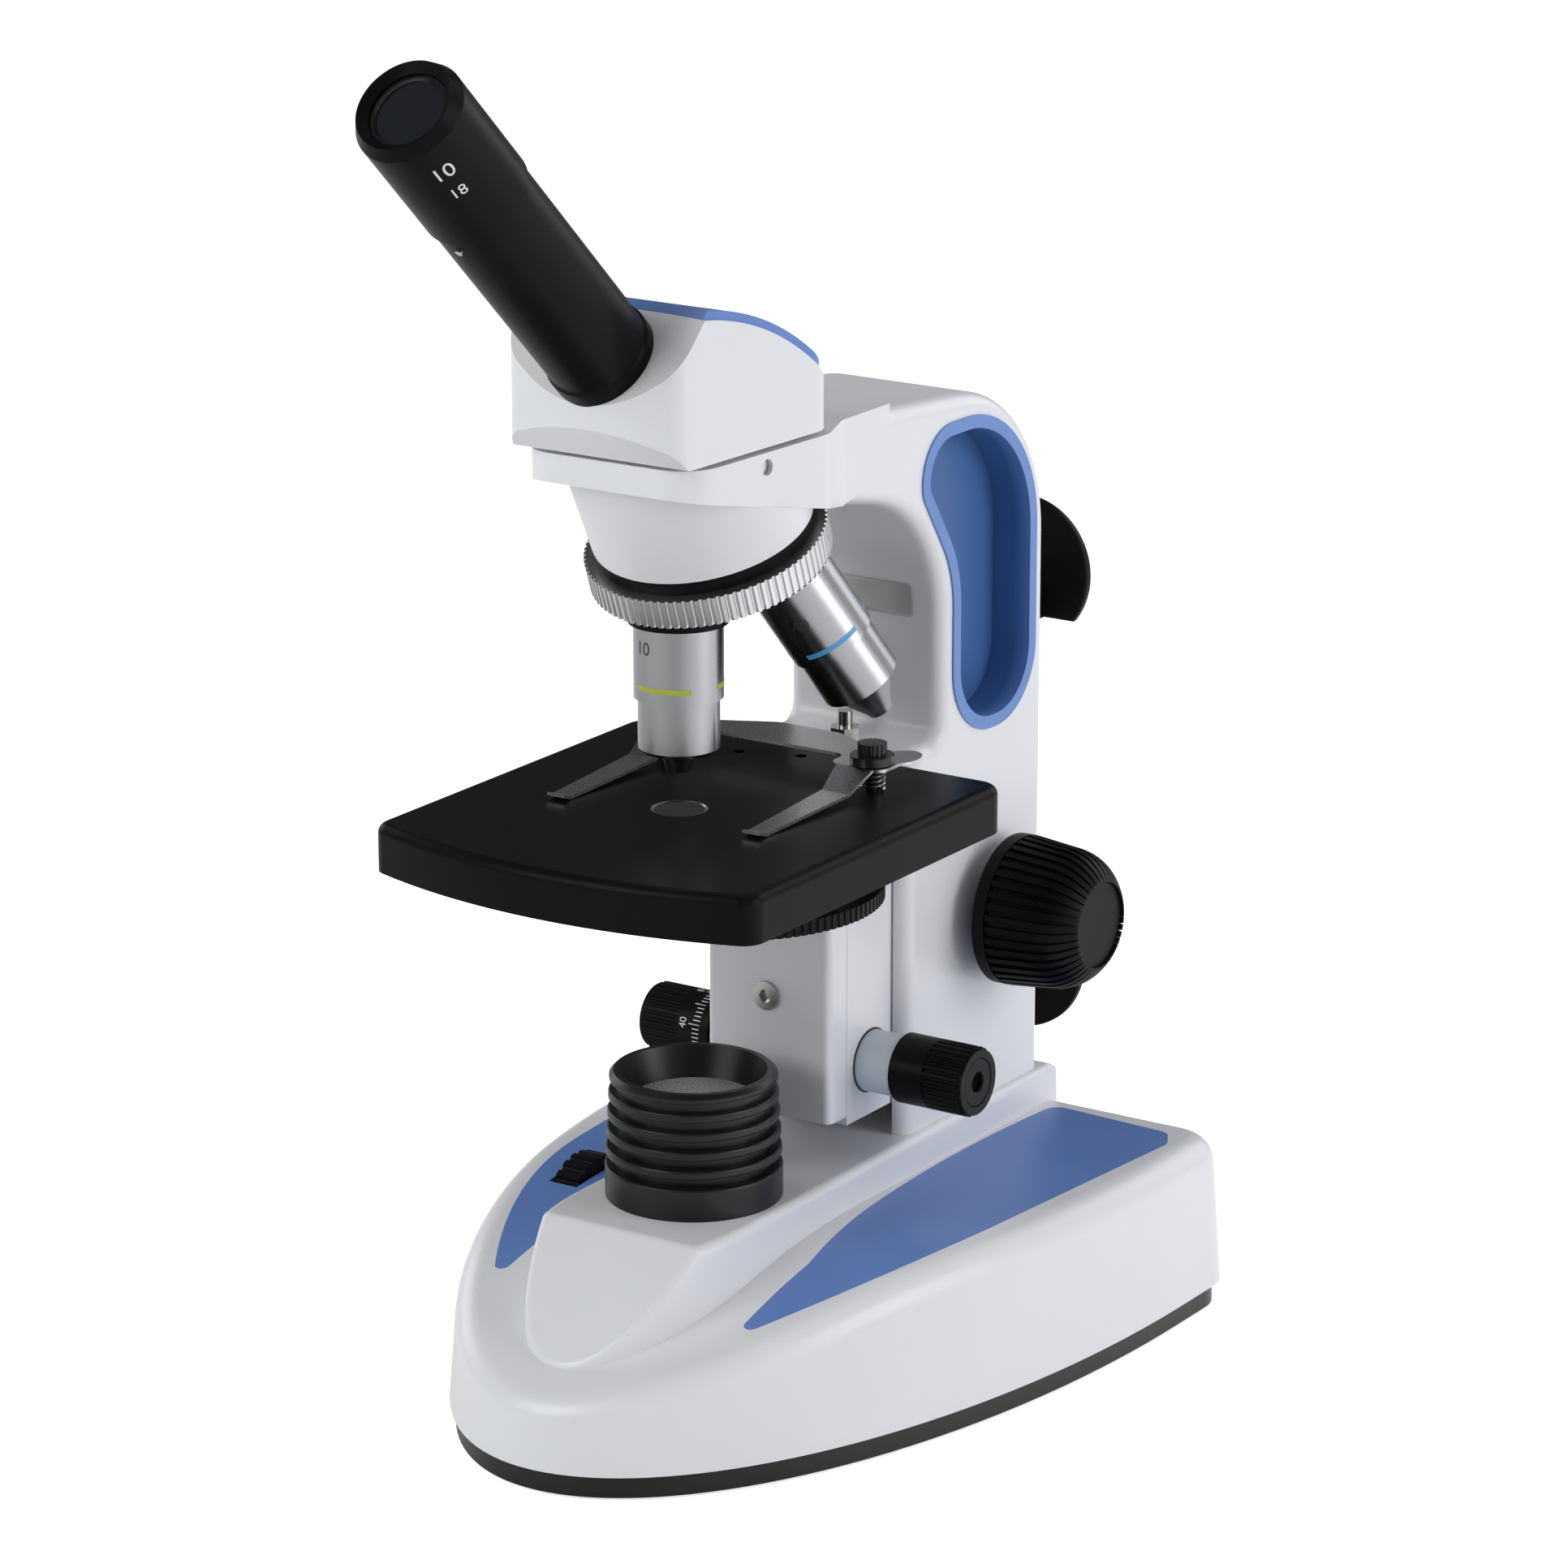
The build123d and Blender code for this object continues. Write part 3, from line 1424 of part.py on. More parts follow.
spring_low = stage_top + spring_wire / 2
spring_high = stage_top + clip_high - spring_wire / 2
spring_pitch = (spring_high - spring_low) / spring_turns


def coil_point(quarter):
    """A point on the coil's centre line, counted in quarter turns."""
    angle = quarter * pi / 2
    height = spring_low + quarter * spring_pitch / 4
    return Vector(spring_radius * cos(angle), spring_radius * sin(angle), height)


def coil_heading(quarter):
    """The direction of the coil's centre line, counted in quarter turns."""
    angle = quarter * pi / 2
    rise = spring_pitch / (2 * pi)
    return Vector(-spring_radius * sin(angle), spring_radius * cos(angle), rise).normalized()


def coil_joint(quarter):
    """Where the two arcs of one quarter turn meet, and the direction they share."""
    start = coil_point(quarter)
    end = coil_point(quarter + 1)
    leave = coil_heading(quarter)
    arrive = coil_heading(quarter + 1)
    chord = end - start
    along = chord.dot(leave + arrive)
    spread = 2 * (1 - leave.dot(arrive))
    reach = (sqrt(along**2 + spread * chord.dot(chord)) - along) / spread
    corner_a = start + leave * reach
    corner_b = end - arrive * reach
    return (corner_a + corner_b) * 0.5, (corner_b - corner_a).normalized()


with BuildPart() as coil:
    with BuildLine() as coil_path:
        for quarter in range(4 * spring_turns):
            joint, shared = coil_joint(quarter)
            TangentArc(coil_point(quarter), joint, tangent=coil_heading(quarter))
            TangentArc(joint, coil_point(quarter + 1), tangent=shared)
    with BuildSketch(Plane(coil_point(0), z_dir=coil_heading(0))):
        Circle(spring_wire / 2)
    coil_wire = coil_path.wires()[0]
    sweep(path=coil_wire)

coil_points = [coil_wire.position_at(step / 400) for step in range(401)]
coil_apart = min(
    (coil_points[i] - coil_points[j]).length for i in range(0, 401, 4) for j in range(i + 60, 401)
)
print("least gap of the spring to itself", round(coil_apart - spring_wire, 3))

with BuildPart() as clip_springs:
    for x, y in clip_spots:
        add(coil.part.moved(Location((x, y, 0))))
keep("clip_springs", clip_springs)


# Nosepiece and objectives

def objective_plane(turn):
    """Plane on the seat of an objective, with its Z axis pointing along the objective."""
    heading = Vector(0, 0, -1).rotate(Axis((0, 0, 0), turret_axis), turn)
    return Plane(apex + heading * apex_to_seat, x_dir=(1, 0, 0), z_dir=heading)


plane_10 = objective_plane(0)
plane_40 = objective_plane(120)
plane_4 = objective_plane(-120)
if plane_40.z_dir.X < 0:
    plane_40, plane_4 = plane_4, plane_40

turret_pivot = turned(
    turret_plane,
    (0, pivot_top),
    (pivot_radius, pivot_top),
    (pivot_radius, turret_bottom),
    (pivot_head_radius, turret_bottom),
    (pivot_head_radius, turret_bottom + pivot_head_thick),
    (0, turret_bottom + pivot_head_thick),
)
keep("turret_pivot", turret_pivot)

with BuildPart() as nosepiece_mount:
    add(
        turned(
            turret_plane,
            (0, 0),
            (mount_top_radius, 0),
            (mount_radius, mount_bottom),
            (0, mount_bottom),
        ).part
    )
    with BuildSketch(Plane.YZ, mode=Mode.PRIVATE) as mount_side:
        with BuildLine():
            Polyline(
                (plate_front_y - 2 * arm_under, under_at(plate_front_y - 2 * arm_under)),
                (3 * arm_under, under_at(3 * arm_under)),
                (3 * arm_under, 0),
                (plate_front_y - 2 * arm_under, 0),
                close=True,
            )
        make_face()
    extrude(mount_side.sketch, amount=2 * plate_wide_half, both=True, mode=Mode.INTERSECT)
    add(rod(upright(0, 0), light_radius, stage_top, arm_top).part, mode=Mode.SUBTRACT)
    add(turret_pivot.part, mode=Mode.SUBTRACT)
keep("nosepiece_mount", nosepiece_mount)

nosepiece_ring = notched_disc(
    turret_plane, grip_ring_radius, grip_ring_top, grip_ring_bottom, grip_ring_notches, grip_ring_notch
)
with nosepiece_ring:
    add(rod(turret_plane, grip_ring_inner, turret_top, turret_bottom).part, mode=Mode.SUBTRACT)
keep("nosepiece_ring", nosepiece_ring)

with BuildPart() as nosepiece_turret:
    add(
        turned(
            turret_plane,
            (0, turret_top),
            (turret_radius, turret_top),
            (turret_radius, grip_ring_top),
            (grip_ring_inner, grip_ring_top),
            (grip_ring_inner, turret_bottom),
            (0, turret_bottom),
        ).part
    )
    for plane in (plane_10, plane_40, plane_4):
        add(rod(plane, boss_radius, -boss_long, 0).part)
    add(rod(turret_plane, 2 * turret_radius, 0, turret_top).part, mode=Mode.SUBTRACT)
    add(nosepiece_ring.part, mode=Mode.SUBTRACT)
    for plane in (plane_10, plane_40, plane_4):
        add(rod(plane, thread_radius, -thread_long, cut_past).part, mode=Mode.SUBTRACT)
        add(rod(plane, light_radius, -apex_to_seat, cut_past).part, mode=Mode.SUBTRACT)
    pivot_room = turned(
        turret_plane,
        (0, turret_top - cut_past),
        (pivot_radius + running_gap, turret_top - cut_past),
        (pivot_radius + running_gap, turret_bottom),
        (pivot_head_radius + free_gap, turret_bottom),
        (pivot_head_radius + free_gap, 2 * turret_bottom),
        (0, 2 * turret_bottom),
    )
    add(pivot_room.part, mode=Mode.SUBTRACT)
keep("nosepiece_turret", nosepiece_turret)

objective_10 = turned(
    plane_10,
    (light_radius, -thread_long),
    (thread_radius, -thread_long),
    (thread_radius, 0),
    (objective_radius, 0),
    (objective_radius, lens_10_step),
    (lens_10_lower, lens_10_step),
    (lens_10_lower, lens_10_lower_end - lens_bevel),
    (lens_10_lower - lens_bevel, lens_10_lower_end),
    (lens_10_cone, lens_10_lower_end),
    (lens_10_tip, lens_10_reach),
    (lens_10_tip - front_lens_rim, lens_10_reach),
    (lens_10_tip - front_lens_rim, lens_10_lower_end),
    (light_radius, lens_10_step),
)
keep("objective_10", objective_10)

objective_4 = turned(
    plane_4,
    (light_radius, -thread_long),
    (thread_radius, -thread_long),
    (thread_radius, 0),
    (objective_radius, 0),
    (objective_radius, lens_4_step),
    (lens_4_lower, lens_4_step),
    (lens_4_lower, lens_4_reach - lens_4_bevel),
    (lens_4_tip, lens_4_reach),
    (lens_4_tip - front_lens_rim, lens_4_reach),
    (lens_4_tip - front_lens_rim, lens_4_step),
    (light_radius, lens_4_step),
)
keep("objective_4", objective_4)

objective_40 = turned(
    plane_40,
    (light_radius, -thread_long),
    (thread_radius, -thread_long),
    (thread_radius, 0),
    (objective_radius, 0),
    (objective_radius, lens_40_step),
    (lens_40_lower, lens_40_step),
    (lens_40_lower, lens_40_lower_end),
    (lens_40_nose + running_gap, lens_40_lower_end),
    (lens_40_nose + running_gap, lens_40_bore_top),
    (light_radius, lens_40_bore_top),
)
keep("objective_40", objective_40)

nose_tip = lens_40_tip - front_lens_rim
objective_40_nose = turned(
    plane_40,
    (nose_tip, lens_40_nose_top),
    (lens_40_nose, lens_40_nose_top),
    (lens_40_nose, lens_40_lower_end + lens_bevel),
    (lens_40_cone, lens_40_reach - lens_40_cone_tall),
    (lens_40_tip, lens_40_reach),
    (nose_tip, lens_40_reach),
)
keep("objective_40_nose", objective_40_nose)

lens_40_end = lens_40_reach - front_lens_rim / 2
objective_40_lens = rod(plane_40, nose_tip, lens_40_end - front_lens_thick, lens_40_end)
keep("objective_40_lens", objective_40_lens)

with BuildPart() as objective_lenses:
    for plane, tip, reach in ((plane_10, lens_10_tip, lens_10_reach), (plane_4, lens_4_tip, lens_4_reach)):
        end = reach - front_lens_rim / 2
        add(rod(plane, tip - front_lens_rim, end - front_lens_thick, end).part)
keep("objective_lenses", objective_lenses)


# Head, tube and eyepiece

def head_plan(height, inset):
    """Plan view of the head: bowed front and a wider rear with round corners."""
    front = head_front_y + inset
    rear = head_rear_y - inset
    front_half = head_front_half - inset
    rear_half = head_rear_half - inset
    with BuildSketch(upright(0, 0, height)) as plan:
        with BuildLine():
            ThreePointArc((-front_half, front), (0, front - head_front_bow), (front_half, front))
            Polyline((front_half, front), (rear_half, rear), (-rear_half, rear), (-front_half, front))
        make_face()
        fillet(plan.vertices().group_by(Axis.Y)[-1], head_rear_corner)
    return plan.sketch


incline = radians(tube_incline)
tube_seat = Vector(0, tube_seat_y, head_bottom + tube_seat_above)
tube_plane = Plane(tube_seat, x_dir=(1, 0, 0), z_dir=(0, -cos(incline), sin(incline)))
crown_z = head_bottom - head_crown_drop
crown_top = crown_z + head_crown_radius


brow_z = tube_seat.Z + (head_brow_y - tube_seat_y) / tan(incline) + saddle_flare / sin(incline)
saddle_run = crown_top - brow_z
saddle_bottom = tube_seat + tube_plane.z_dir * (saddle_radius - saddle_deep)
saddle_plane = Plane(saddle_bottom, x_dir=(1, 0, 0), z_dir=(0, sin(incline), cos(incline)))
saddle = rod(saddle_plane, saddle_radius, -saddle_radius, saddle_radius)


def crown_side(radius):
    """Side view of the head below a crown of a given radius."""
    with BuildSketch(Plane.YZ) as side:
        with Locations((head_crown_y, crown_z)):
            Circle(radius)
        with BuildLine():
            Polyline(
                (head_chin_y, head_bottom),
                (head_brow_y, head_bottom + head_chin_tall),
                (head_brow_y, brow_z),
                (head_brow_y + saddle_run * tan(incline), crown_top),
                (head_rear_y + cut_past, crown_top),
                (head_rear_y + cut_past, head_bottom),
                close=True,
            )
        make_face(mode=Mode.INTERSECT)
    return side.sketch


prism_low = head_bottom + prism_floor
exit_mid_z = tube_seat.Z - (prism_exit_y - tube_seat_y) * tan(incline)
exit_low_y = prism_exit_y - (exit_mid_z - prism_low) * tan(incline)
with BuildPart() as prism:
    with BuildSketch(Plane.YZ):
        with BuildLine():
            Polyline(
                (prism_half_depth, prism_low),
                (prism_half_depth, prism_low + prism_back_tall),
                (0, prism_low + prism_crest_tall),
                (prism_exit_y + prism_exit_half * sin(incline), exit_mid_z + prism_exit_half * cos(incline)),
                (exit_low_y, prism_low),
                close=True,
            )
        make_face()
    extrude(amount=prism_half_width, both=True)
keep("prism", prism)

tube_bore = rod(tube_plane, tube_foot_radius, -tube_sunk, 4 * tube_sunk)
with BuildPart() as head_housing:
    extrude(head_plan(head_bottom, 0), amount=crown_top - head_bottom)
    under_cap = crown_side(head_crown_radius - cap_thick)
    extrude(under_cap, amount=2 * head_rear_half, both=True, mode=Mode.INTERSECT)
    front_corners = head_housing.edges().filter_by(Axis.Z).filter_by(lambda e: e.center().Y < 0)
    fillet(front_corners, head_front_corner)
    add(saddle.part, mode=Mode.SUBTRACT)
    add(rod(upright(0, 0), spigot_radius, head_bottom - spigot_long, head_bottom).part)
    add(rod(upright(0, 0), prism_half_width, 0, prism_low).part, mode=Mode.SUBTRACT)
    exit_depth = (prism_exit_y - tube_seat_y) / cos(incline)
    add(rod(tube_plane, prism_half_width, -exit_depth, 0).part, mode=Mode.SUBTRACT)
    add(prism.part, mode=Mode.SUBTRACT)
    add(tube_bore.part, mode=Mode.SUBTRACT)
keep("head_housing", head_housing)

with BuildPart() as head_cap:
    extrude(head_plan(head_bottom, cap_margin), amount=crown_top + cut_past - head_bottom)
    extrude(crown_side(head_crown_radius), amount=2 * head_rear_half, both=True, mode=Mode.INTERSECT)
    extrude(under_cap, amount=2 * head_rear_half, both=True, mode=Mode.SUBTRACT)
    dish_lean = (cap_dish_y - head_crown_y) / head_crown_radius
    dish_reach = head_crown_radius + cap_dish_radius - cap_dish_deep
    dish_up = dish_reach * sqrt(1 - dish_lean**2)
    with Locations((0, head_crown_y + dish_reach * dish_lean, crown_z + dish_up)):
        Sphere(cap_dish_radius, mode=Mode.SUBTRACT)
    add(saddle.part, mode=Mode.SUBTRACT)
    add(tube_bore.part, mode=Mode.SUBTRACT)
keep("head_cap", head_cap)

bore_radius = eyepiece_barrel + running_gap
screw_spot = tube_plane.origin + tube_plane.z_dir * eyepiece_screw_along
screw_plane = Plane(screw_spot, x_dir=tube_plane.z_dir, z_dir=-tube_plane.y_dir)
screw_end = tube_radius + eyepiece_screw_show
eyepiece_screw = rod(screw_plane, eyepiece_screw_radius, bore_radius + sliding_gap, screw_end)
keep("eyepiece_screw", eyepiece_screw)

with BuildPart() as eyepiece_tube:
    add(
        turned(
            tube_plane,
            (path_radius, -tube_sunk),
            (tube_foot_radius, -tube_sunk),
            (tube_foot_radius, tube_foot_long),
            (tube_radius, tube_foot_long + tube_foot_taper),
            (tube_radius, tube_long),
            (bore_radius, tube_long),
            (bore_radius, tube_long - eyepiece_barrel_long - eyepiece_barrel_room),
            (path_radius, tube_long - eyepiece_barrel_long - eyepiece_barrel_room),
        ).part
    )
    add(rod(screw_plane, eyepiece_screw_radius, 0, 2 * tube_radius).part, mode=Mode.SUBTRACT)
keep("eyepiece_tube", eyepiece_tube)

eye_end = tube_long + eyepiece_long
lens_low = eye_end - eyepiece_lens_deep - eyepiece_lens_thick
eyepiece = turned(
    tube_plane,
    (eyepiece_barrel - eyepiece_wall, tube_long - eyepiece_barrel_long),
    (eyepiece_barrel, tube_long - eyepiece_barrel_long),
    (eyepiece_barrel, tube_long + running_gap),
    (eyepiece_radius, tube_long + running_gap),
    (eyepiece_radius, eye_end - eyepiece_bevel),
    (eyepiece_radius - eyepiece_bevel / 2, eye_end),
    (eyepiece_lens_radius, eye_end - eyepiece_lens_deep / 2),
    (eyepiece_lens_radius, lens_low),
    (eyepiece_lens_radius - eyepiece_lens_ledge, lens_low),
    (eyepiece_lens_radius - eyepiece_lens_ledge, tube_long + eyepiece_bevel),
)
keep("eyepiece", eyepiece)

eyepiece_lens = rod(tube_plane, eyepiece_lens_radius, lens_low, lens_low + eyepiece_lens_thick)
keep("eyepiece_lens", eyepiece_lens)


# The finished pieces are moved so that the middle of the footprint is the origin

boxes = [piece.bounding_box() for piece in pieces.values()]
front_y = min(box.min.Y for box in boxes)
rear_y = max(box.max.Y for box in boxes)
centred = Location((0, -(front_y + rear_y) / 2, 0))
print("optical axis at y", round(-(front_y + rear_y) / 2, 4))
for label, piece in pieces.items():
    placed = piece.moved(centred)
    placed.label = label
    export_step(placed, f"parts/{label}.step")
    print(label, len(piece.solids()), round(piece.volume), piece.bounding_box())
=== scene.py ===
# %% [markdown]
# A student microscope, dressed for a studio picture.
# The solid model already has every piece at its real size and place. This lesson loads it, sets up a camera
# and soft light, gives each piece the finish that it has on a bench, and adds the small things that are
# printed, painted, wound or stuck on: colour rings, numbers, a focus scale, springs and a bare plate.

# %% Load the frame
import json
import math

import bmesh
import bpy
from mathutils import Matrix, Vector


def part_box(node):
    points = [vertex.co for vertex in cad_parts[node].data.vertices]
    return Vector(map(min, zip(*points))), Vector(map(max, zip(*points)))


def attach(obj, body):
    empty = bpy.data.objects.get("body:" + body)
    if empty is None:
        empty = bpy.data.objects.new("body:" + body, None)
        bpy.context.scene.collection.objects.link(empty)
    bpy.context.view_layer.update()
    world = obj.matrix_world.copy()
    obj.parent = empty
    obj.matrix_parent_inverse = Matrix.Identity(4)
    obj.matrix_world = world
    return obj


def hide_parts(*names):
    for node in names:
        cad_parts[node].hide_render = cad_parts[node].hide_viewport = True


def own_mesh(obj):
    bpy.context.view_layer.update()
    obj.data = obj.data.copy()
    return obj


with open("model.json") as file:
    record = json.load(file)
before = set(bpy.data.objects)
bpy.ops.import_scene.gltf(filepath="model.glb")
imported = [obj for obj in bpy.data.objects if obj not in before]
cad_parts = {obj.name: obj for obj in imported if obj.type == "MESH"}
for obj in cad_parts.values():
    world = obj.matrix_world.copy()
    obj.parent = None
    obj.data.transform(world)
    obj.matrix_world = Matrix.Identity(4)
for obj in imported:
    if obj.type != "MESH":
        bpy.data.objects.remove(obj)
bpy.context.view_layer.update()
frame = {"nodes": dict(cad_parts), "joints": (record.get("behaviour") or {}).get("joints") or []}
nodes = frame["nodes"]
MM = 0.001

# %% [markdown]
# The optical axis is the line that everything on a microscope is measured from: the stage lens, the working
# objective and the head share it. The stage lens is centred on it, so its box says where it is. From here
# on, a place on the microscope is given in millimetres: to the right of the axis, behind it and above the
# table.

# %% Where the optical axis stands
RIGHT = Vector((1, 0, 0))
FRONT = Vector((0, -1, 0))
UP = Vector((0, 0, 1))
lens_low, lens_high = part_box("stage_lens")
AXIS_Y = (lens_low.y + lens_high.y) / 2


def spot(right, behind, above):
    """A place in metres, given in millimetres from the optical axis and the table."""
    return Vector((right * MM, AXIS_Y + behind * MM, above * MM))


print("optical axis at y =", round(AXIS_Y, 5))

# %% [markdown]
# A product photograph like this one is taken from some distance with a long lens, so that upright edges
# stay nearly parallel. The camera stands in front and to the right, a little above the stage. Its place is
# counted from the optical axis, and its turn is written as two angles: around the object and downwards.

# %% Camera
AROUND = math.radians(33.25)
DOWN = math.radians(16.47)
CAMERA_SPOT = (751.25, -1100.46, 552.28)
PHOTO_WIDTH_PX = 1932
FOCAL_PX = 7200
SENSOR = 36.0
SIGHT = 20.0
scene = bpy.context.scene
camera_data = bpy.data.cameras.new("product_camera")
camera_data.sensor_width = SENSOR
camera_data.lens = SENSOR * FOCAL_PX / PHOTO_WIDTH_PX
camera_data.clip_end = SIGHT
camera = bpy.data.objects.new("product_camera", camera_data)
camera.location = spot(*CAMERA_SPOT)
camera.rotation_euler = (math.pi / 2 - DOWN, 0.0, AROUND)
scene.collection.objects.link(camera)
scene.camera = camera
print("lens", round(camera_data.lens, 1), "mm")

# %% [markdown]
# Light and finishes are networks of small nodes. Two kinds come back again and again: one that calculates
# with two values, and one that maps a value from one range to another. Each takes several lines to set up,
# so both get a helper that hands back the socket with the result, ready for the next link.


# %% Node helpers
def calculated(tree, operation, first, second):
    """The result of a math node on a socket and either another socket or a number."""
    node = tree.nodes.new("ShaderNodeMath")
    node.operation = operation
    tree.links.new(first, node.inputs[0])
    if isinstance(second, float):
        node.inputs[1].default_value = second
    else:
        tree.links.new(second, node.inputs[1])
    return node.outputs[0]


def mapped(tree, value, before, after, curve="LINEAR"):
    """A socket's value mapped from one range to another, and held at the ends of the range."""
    node = tree.nodes.new("ShaderNodeMapRange")
    node.interpolation_type = curve
    node.inputs["From Min"].default_value, node.inputs["From Max"].default_value = before
    node.inputs["To Min"].default_value, node.inputs["To Max"].default_value = after
    tree.links.new(value, node.inputs["Value"])
    return node.outputs["Result"]


print("node helpers ready: calculated, mapped")

# %% [markdown]
# The background of the picture is white, but white paint only reads as white when it has grey shading
# beside it, and polished metal only reads as metal when it mirrors something light beside something dark.
# So the world has three looks. Two are plain: white, and a dim grey that lights the object. The third is a
# studio wall, bright at the right, where the big lamp is, and darker at the left and overhead. A photograph
# of a studio would do too, but a gradient on the direction of the ray is enough, and it needs no file.

# %% World
BRIGHT_SIDE = (0.956, 0.292, 0.0)
WALL_FACING = (0.1, 0.95)
WALL_SHADE = (0.16, 1.0)
CEILING_RISE = (0.15, 0.7)
CEILING_SHADE = (1.0, 0.35)
AMBIENT = 0.36
scene.view_settings.view_transform = "Standard"


def wall_gradient(tree, heading):
    """Brightness of the studio wall in the direction that a socket gives."""
    facing = tree.nodes.new("ShaderNodeVectorMath")
    facing.operation = "DOT_PRODUCT"
    facing.inputs[1].default_value = BRIGHT_SIDE
    tree.links.new(heading, facing.inputs[0])
    return mapped(tree, facing.outputs["Value"], WALL_FACING, WALL_SHADE, "SMOOTHSTEP")


world = bpy.data.worlds.new("studio")
scene.world = world
world.use_nodes = True
studio = world.node_tree
studio.nodes.clear()
white = studio.nodes.new("ShaderNodeBackground")
white.inputs["Color"].default_value = (1, 1, 1, 1)
ambient = studio.nodes.new("ShaderNodeBackground")
ambient.inputs["Color"].default_value = (0.95, 0.97, 1.0, 1)
ambient.inputs["Strength"].default_value = AMBIENT
wall = studio.nodes.new("ShaderNodeBackground")
heading = studio.nodes.new("ShaderNodeTexCoord")
height = studio.nodes.new("ShaderNodeSeparateXYZ")
studio.links.new(heading.outputs["Generated"], height.inputs["Vector"])
ceiling = mapped(studio, height.outputs["Z"], CEILING_RISE, CEILING_SHADE)
around = wall_gradient(studio, heading.outputs["Generated"])
studio.links.new(calculated(studio, "MULTIPLY", around, ceiling), wall.inputs["Strength"])
print("world nodes:", len(studio.nodes))

# %% [markdown]
# The three looks are shared out by the kind of ray. A ray that comes from the camera, or through a lens,
# sees white. A ray that was mirrored sees the wall. Every other ray brings light, and gets the dim grey.
# This could also be done with cards of paper round the object, but those would show in other views.

# %% Which ray sees which world
rays = studio.nodes.new("ShaderNodeLightPath").outputs
mirrored = studio.nodes.new("ShaderNodeMixShader")
studio.links.new(rays["Is Glossy Ray"], mirrored.inputs["Fac"])
studio.links.new(ambient.outputs[0], mirrored.inputs[1])
studio.links.new(wall.outputs[0], mirrored.inputs[2])
looked_at = calculated(studio, "MAXIMUM", rays["Is Camera Ray"], rays["Is Transmission Ray"])
seen = studio.nodes.new("ShaderNodeMixShader")
studio.links.new(looked_at, seen.inputs["Fac"])
studio.links.new(mirrored.outputs[0], seen.inputs[1])
studio.links.new(white.outputs[0], seen.inputs[2])
world_out = studio.nodes.new("ShaderNodeOutputWorld")
studio.links.new(seen.outputs[0], world_out.inputs["Surface"])
print("world set for camera, mirror and lens rays")

# %% [markdown]
# Large area lamps shape the object. In the picture the right-hand faces are the lightest, a little
# lavender, the front faces are a step darker and slightly green, and the tops are darkest. So one main lamp
# stands at the right and the other in front, hardly any light comes from above, and two weaker lamps, at
# the left and behind, keep the far sides readable when the microscope is seen from there.

# %% Lamps
MIDDLE = Vector((0, 0, 0.17))


def softbox(name, place, width, height, watts, colour):
    """A rectangular lamp that faces the middle of the microscope."""
    lamp = bpy.data.lights.new(name, "AREA")
    lamp.shape = "RECTANGLE"
    lamp.size = width
    lamp.size_y = height
    lamp.energy = watts
    lamp.color = colour
    holder = bpy.data.objects.new(name, lamp)
    holder.location = place
    holder.rotation_euler = (MIDDLE - Vector(place)).to_track_quat("-Z", "Y").to_euler()
    scene.collection.objects.link(holder)
    return lamp.energy


power = softbox("side_softbox", (1.35, 0.28, 0.50), 0.7, 1.1, 8.6, (0.97, 0.97, 1.0))
power += softbox("front_softbox", (-0.50, -1.20, 0.90), 0.9, 0.9, 10.3, (0.98, 1.0, 0.97))
power += softbox("top_softbox", (0.05, 0.15, 1.35), 0.9, 0.9, 0.8, (1.0, 1.0, 1.0))
power += softbox("left_softbox", (-1.40, 0.30, 0.60), 0.8, 0.8, 4.0, (0.97, 0.98, 1.0))
power += softbox("back_softbox", (0.40, 1.35, 0.70), 0.8, 0.8, 4.0, (0.97, 0.98, 1.0))
print("lamps together:", round(power, 1), "W")

# %% [markdown]
# The microscope stands on a sheet of white paper that runs far past the picture. One flat face is enough
# for it. It belongs to the studio and not to the microscope.

# %% Floor
FLOOR_REACH = 6.0
sheet = bmesh.new()
bmesh.ops.create_grid(sheet, x_segments=1, y_segments=1, size=FLOOR_REACH)
floor_data = bpy.data.meshes.new("paper_floor")
sheet.to_mesh(floor_data)
sheet.free()
floor = bpy.data.objects.new("paper_floor", floor_data)
scene.collection.objects.link(floor)
paper = bpy.data.materials.new("white_paper")
paper.use_nodes = True
sheet_tree = paper.node_tree
sheet_shader = sheet_tree.nodes["Principled BSDF"]
sheet_shader.inputs["Base Color"].default_value = (0.9, 0.9, 0.9, 1)
sheet_shader.inputs["Roughness"].default_value = 0.9
floor_data.materials.append(paper)
print("floor laid,", 2 * FLOOR_REACH, "m wide")

# %% [markdown]
# The lamps alone would leave the paper grey. So it glows, but only for the camera, for lenses and for
# mirror rays, and adds that glow to the light that falls on it. Where the base keeps the light off, the sum
# is darker, so the shadow stays. Mirror rays see the paper with the same gradient as the wall.

# %% How the paper glows
PAPER_GLOW = 0.72
paper_rays = sheet_tree.nodes.new("ShaderNodeLightPath").outputs
paper_place = sheet_tree.nodes.new("ShaderNodeTexCoord")
outward = sheet_tree.nodes.new("ShaderNodeVectorMath")
outward.operation = "NORMALIZE"
sheet_tree.links.new(paper_place.outputs["Object"], outward.inputs[0])
paper_gradient = wall_gradient(sheet_tree, outward.outputs["Vector"])
mirror_share = calculated(sheet_tree, "MULTIPLY", paper_rays["Is Glossy Ray"], paper_gradient)
direct_share = calculated(
    sheet_tree, "MAXIMUM", paper_rays["Is Camera Ray"], paper_rays["Is Transmission Ray"]
)
either_share = calculated(sheet_tree, "MAXIMUM", direct_share, mirror_share)
glow = sheet_tree.nodes.new("ShaderNodeEmission")
sheet_tree.links.new(calculated(sheet_tree, "MULTIPLY", either_share, PAPER_GLOW), glow.inputs["Strength"])
lit_paper = sheet_tree.nodes.new("ShaderNodeAddShader")
sheet_tree.links.new(sheet_shader.outputs[0], lit_paper.inputs[0])
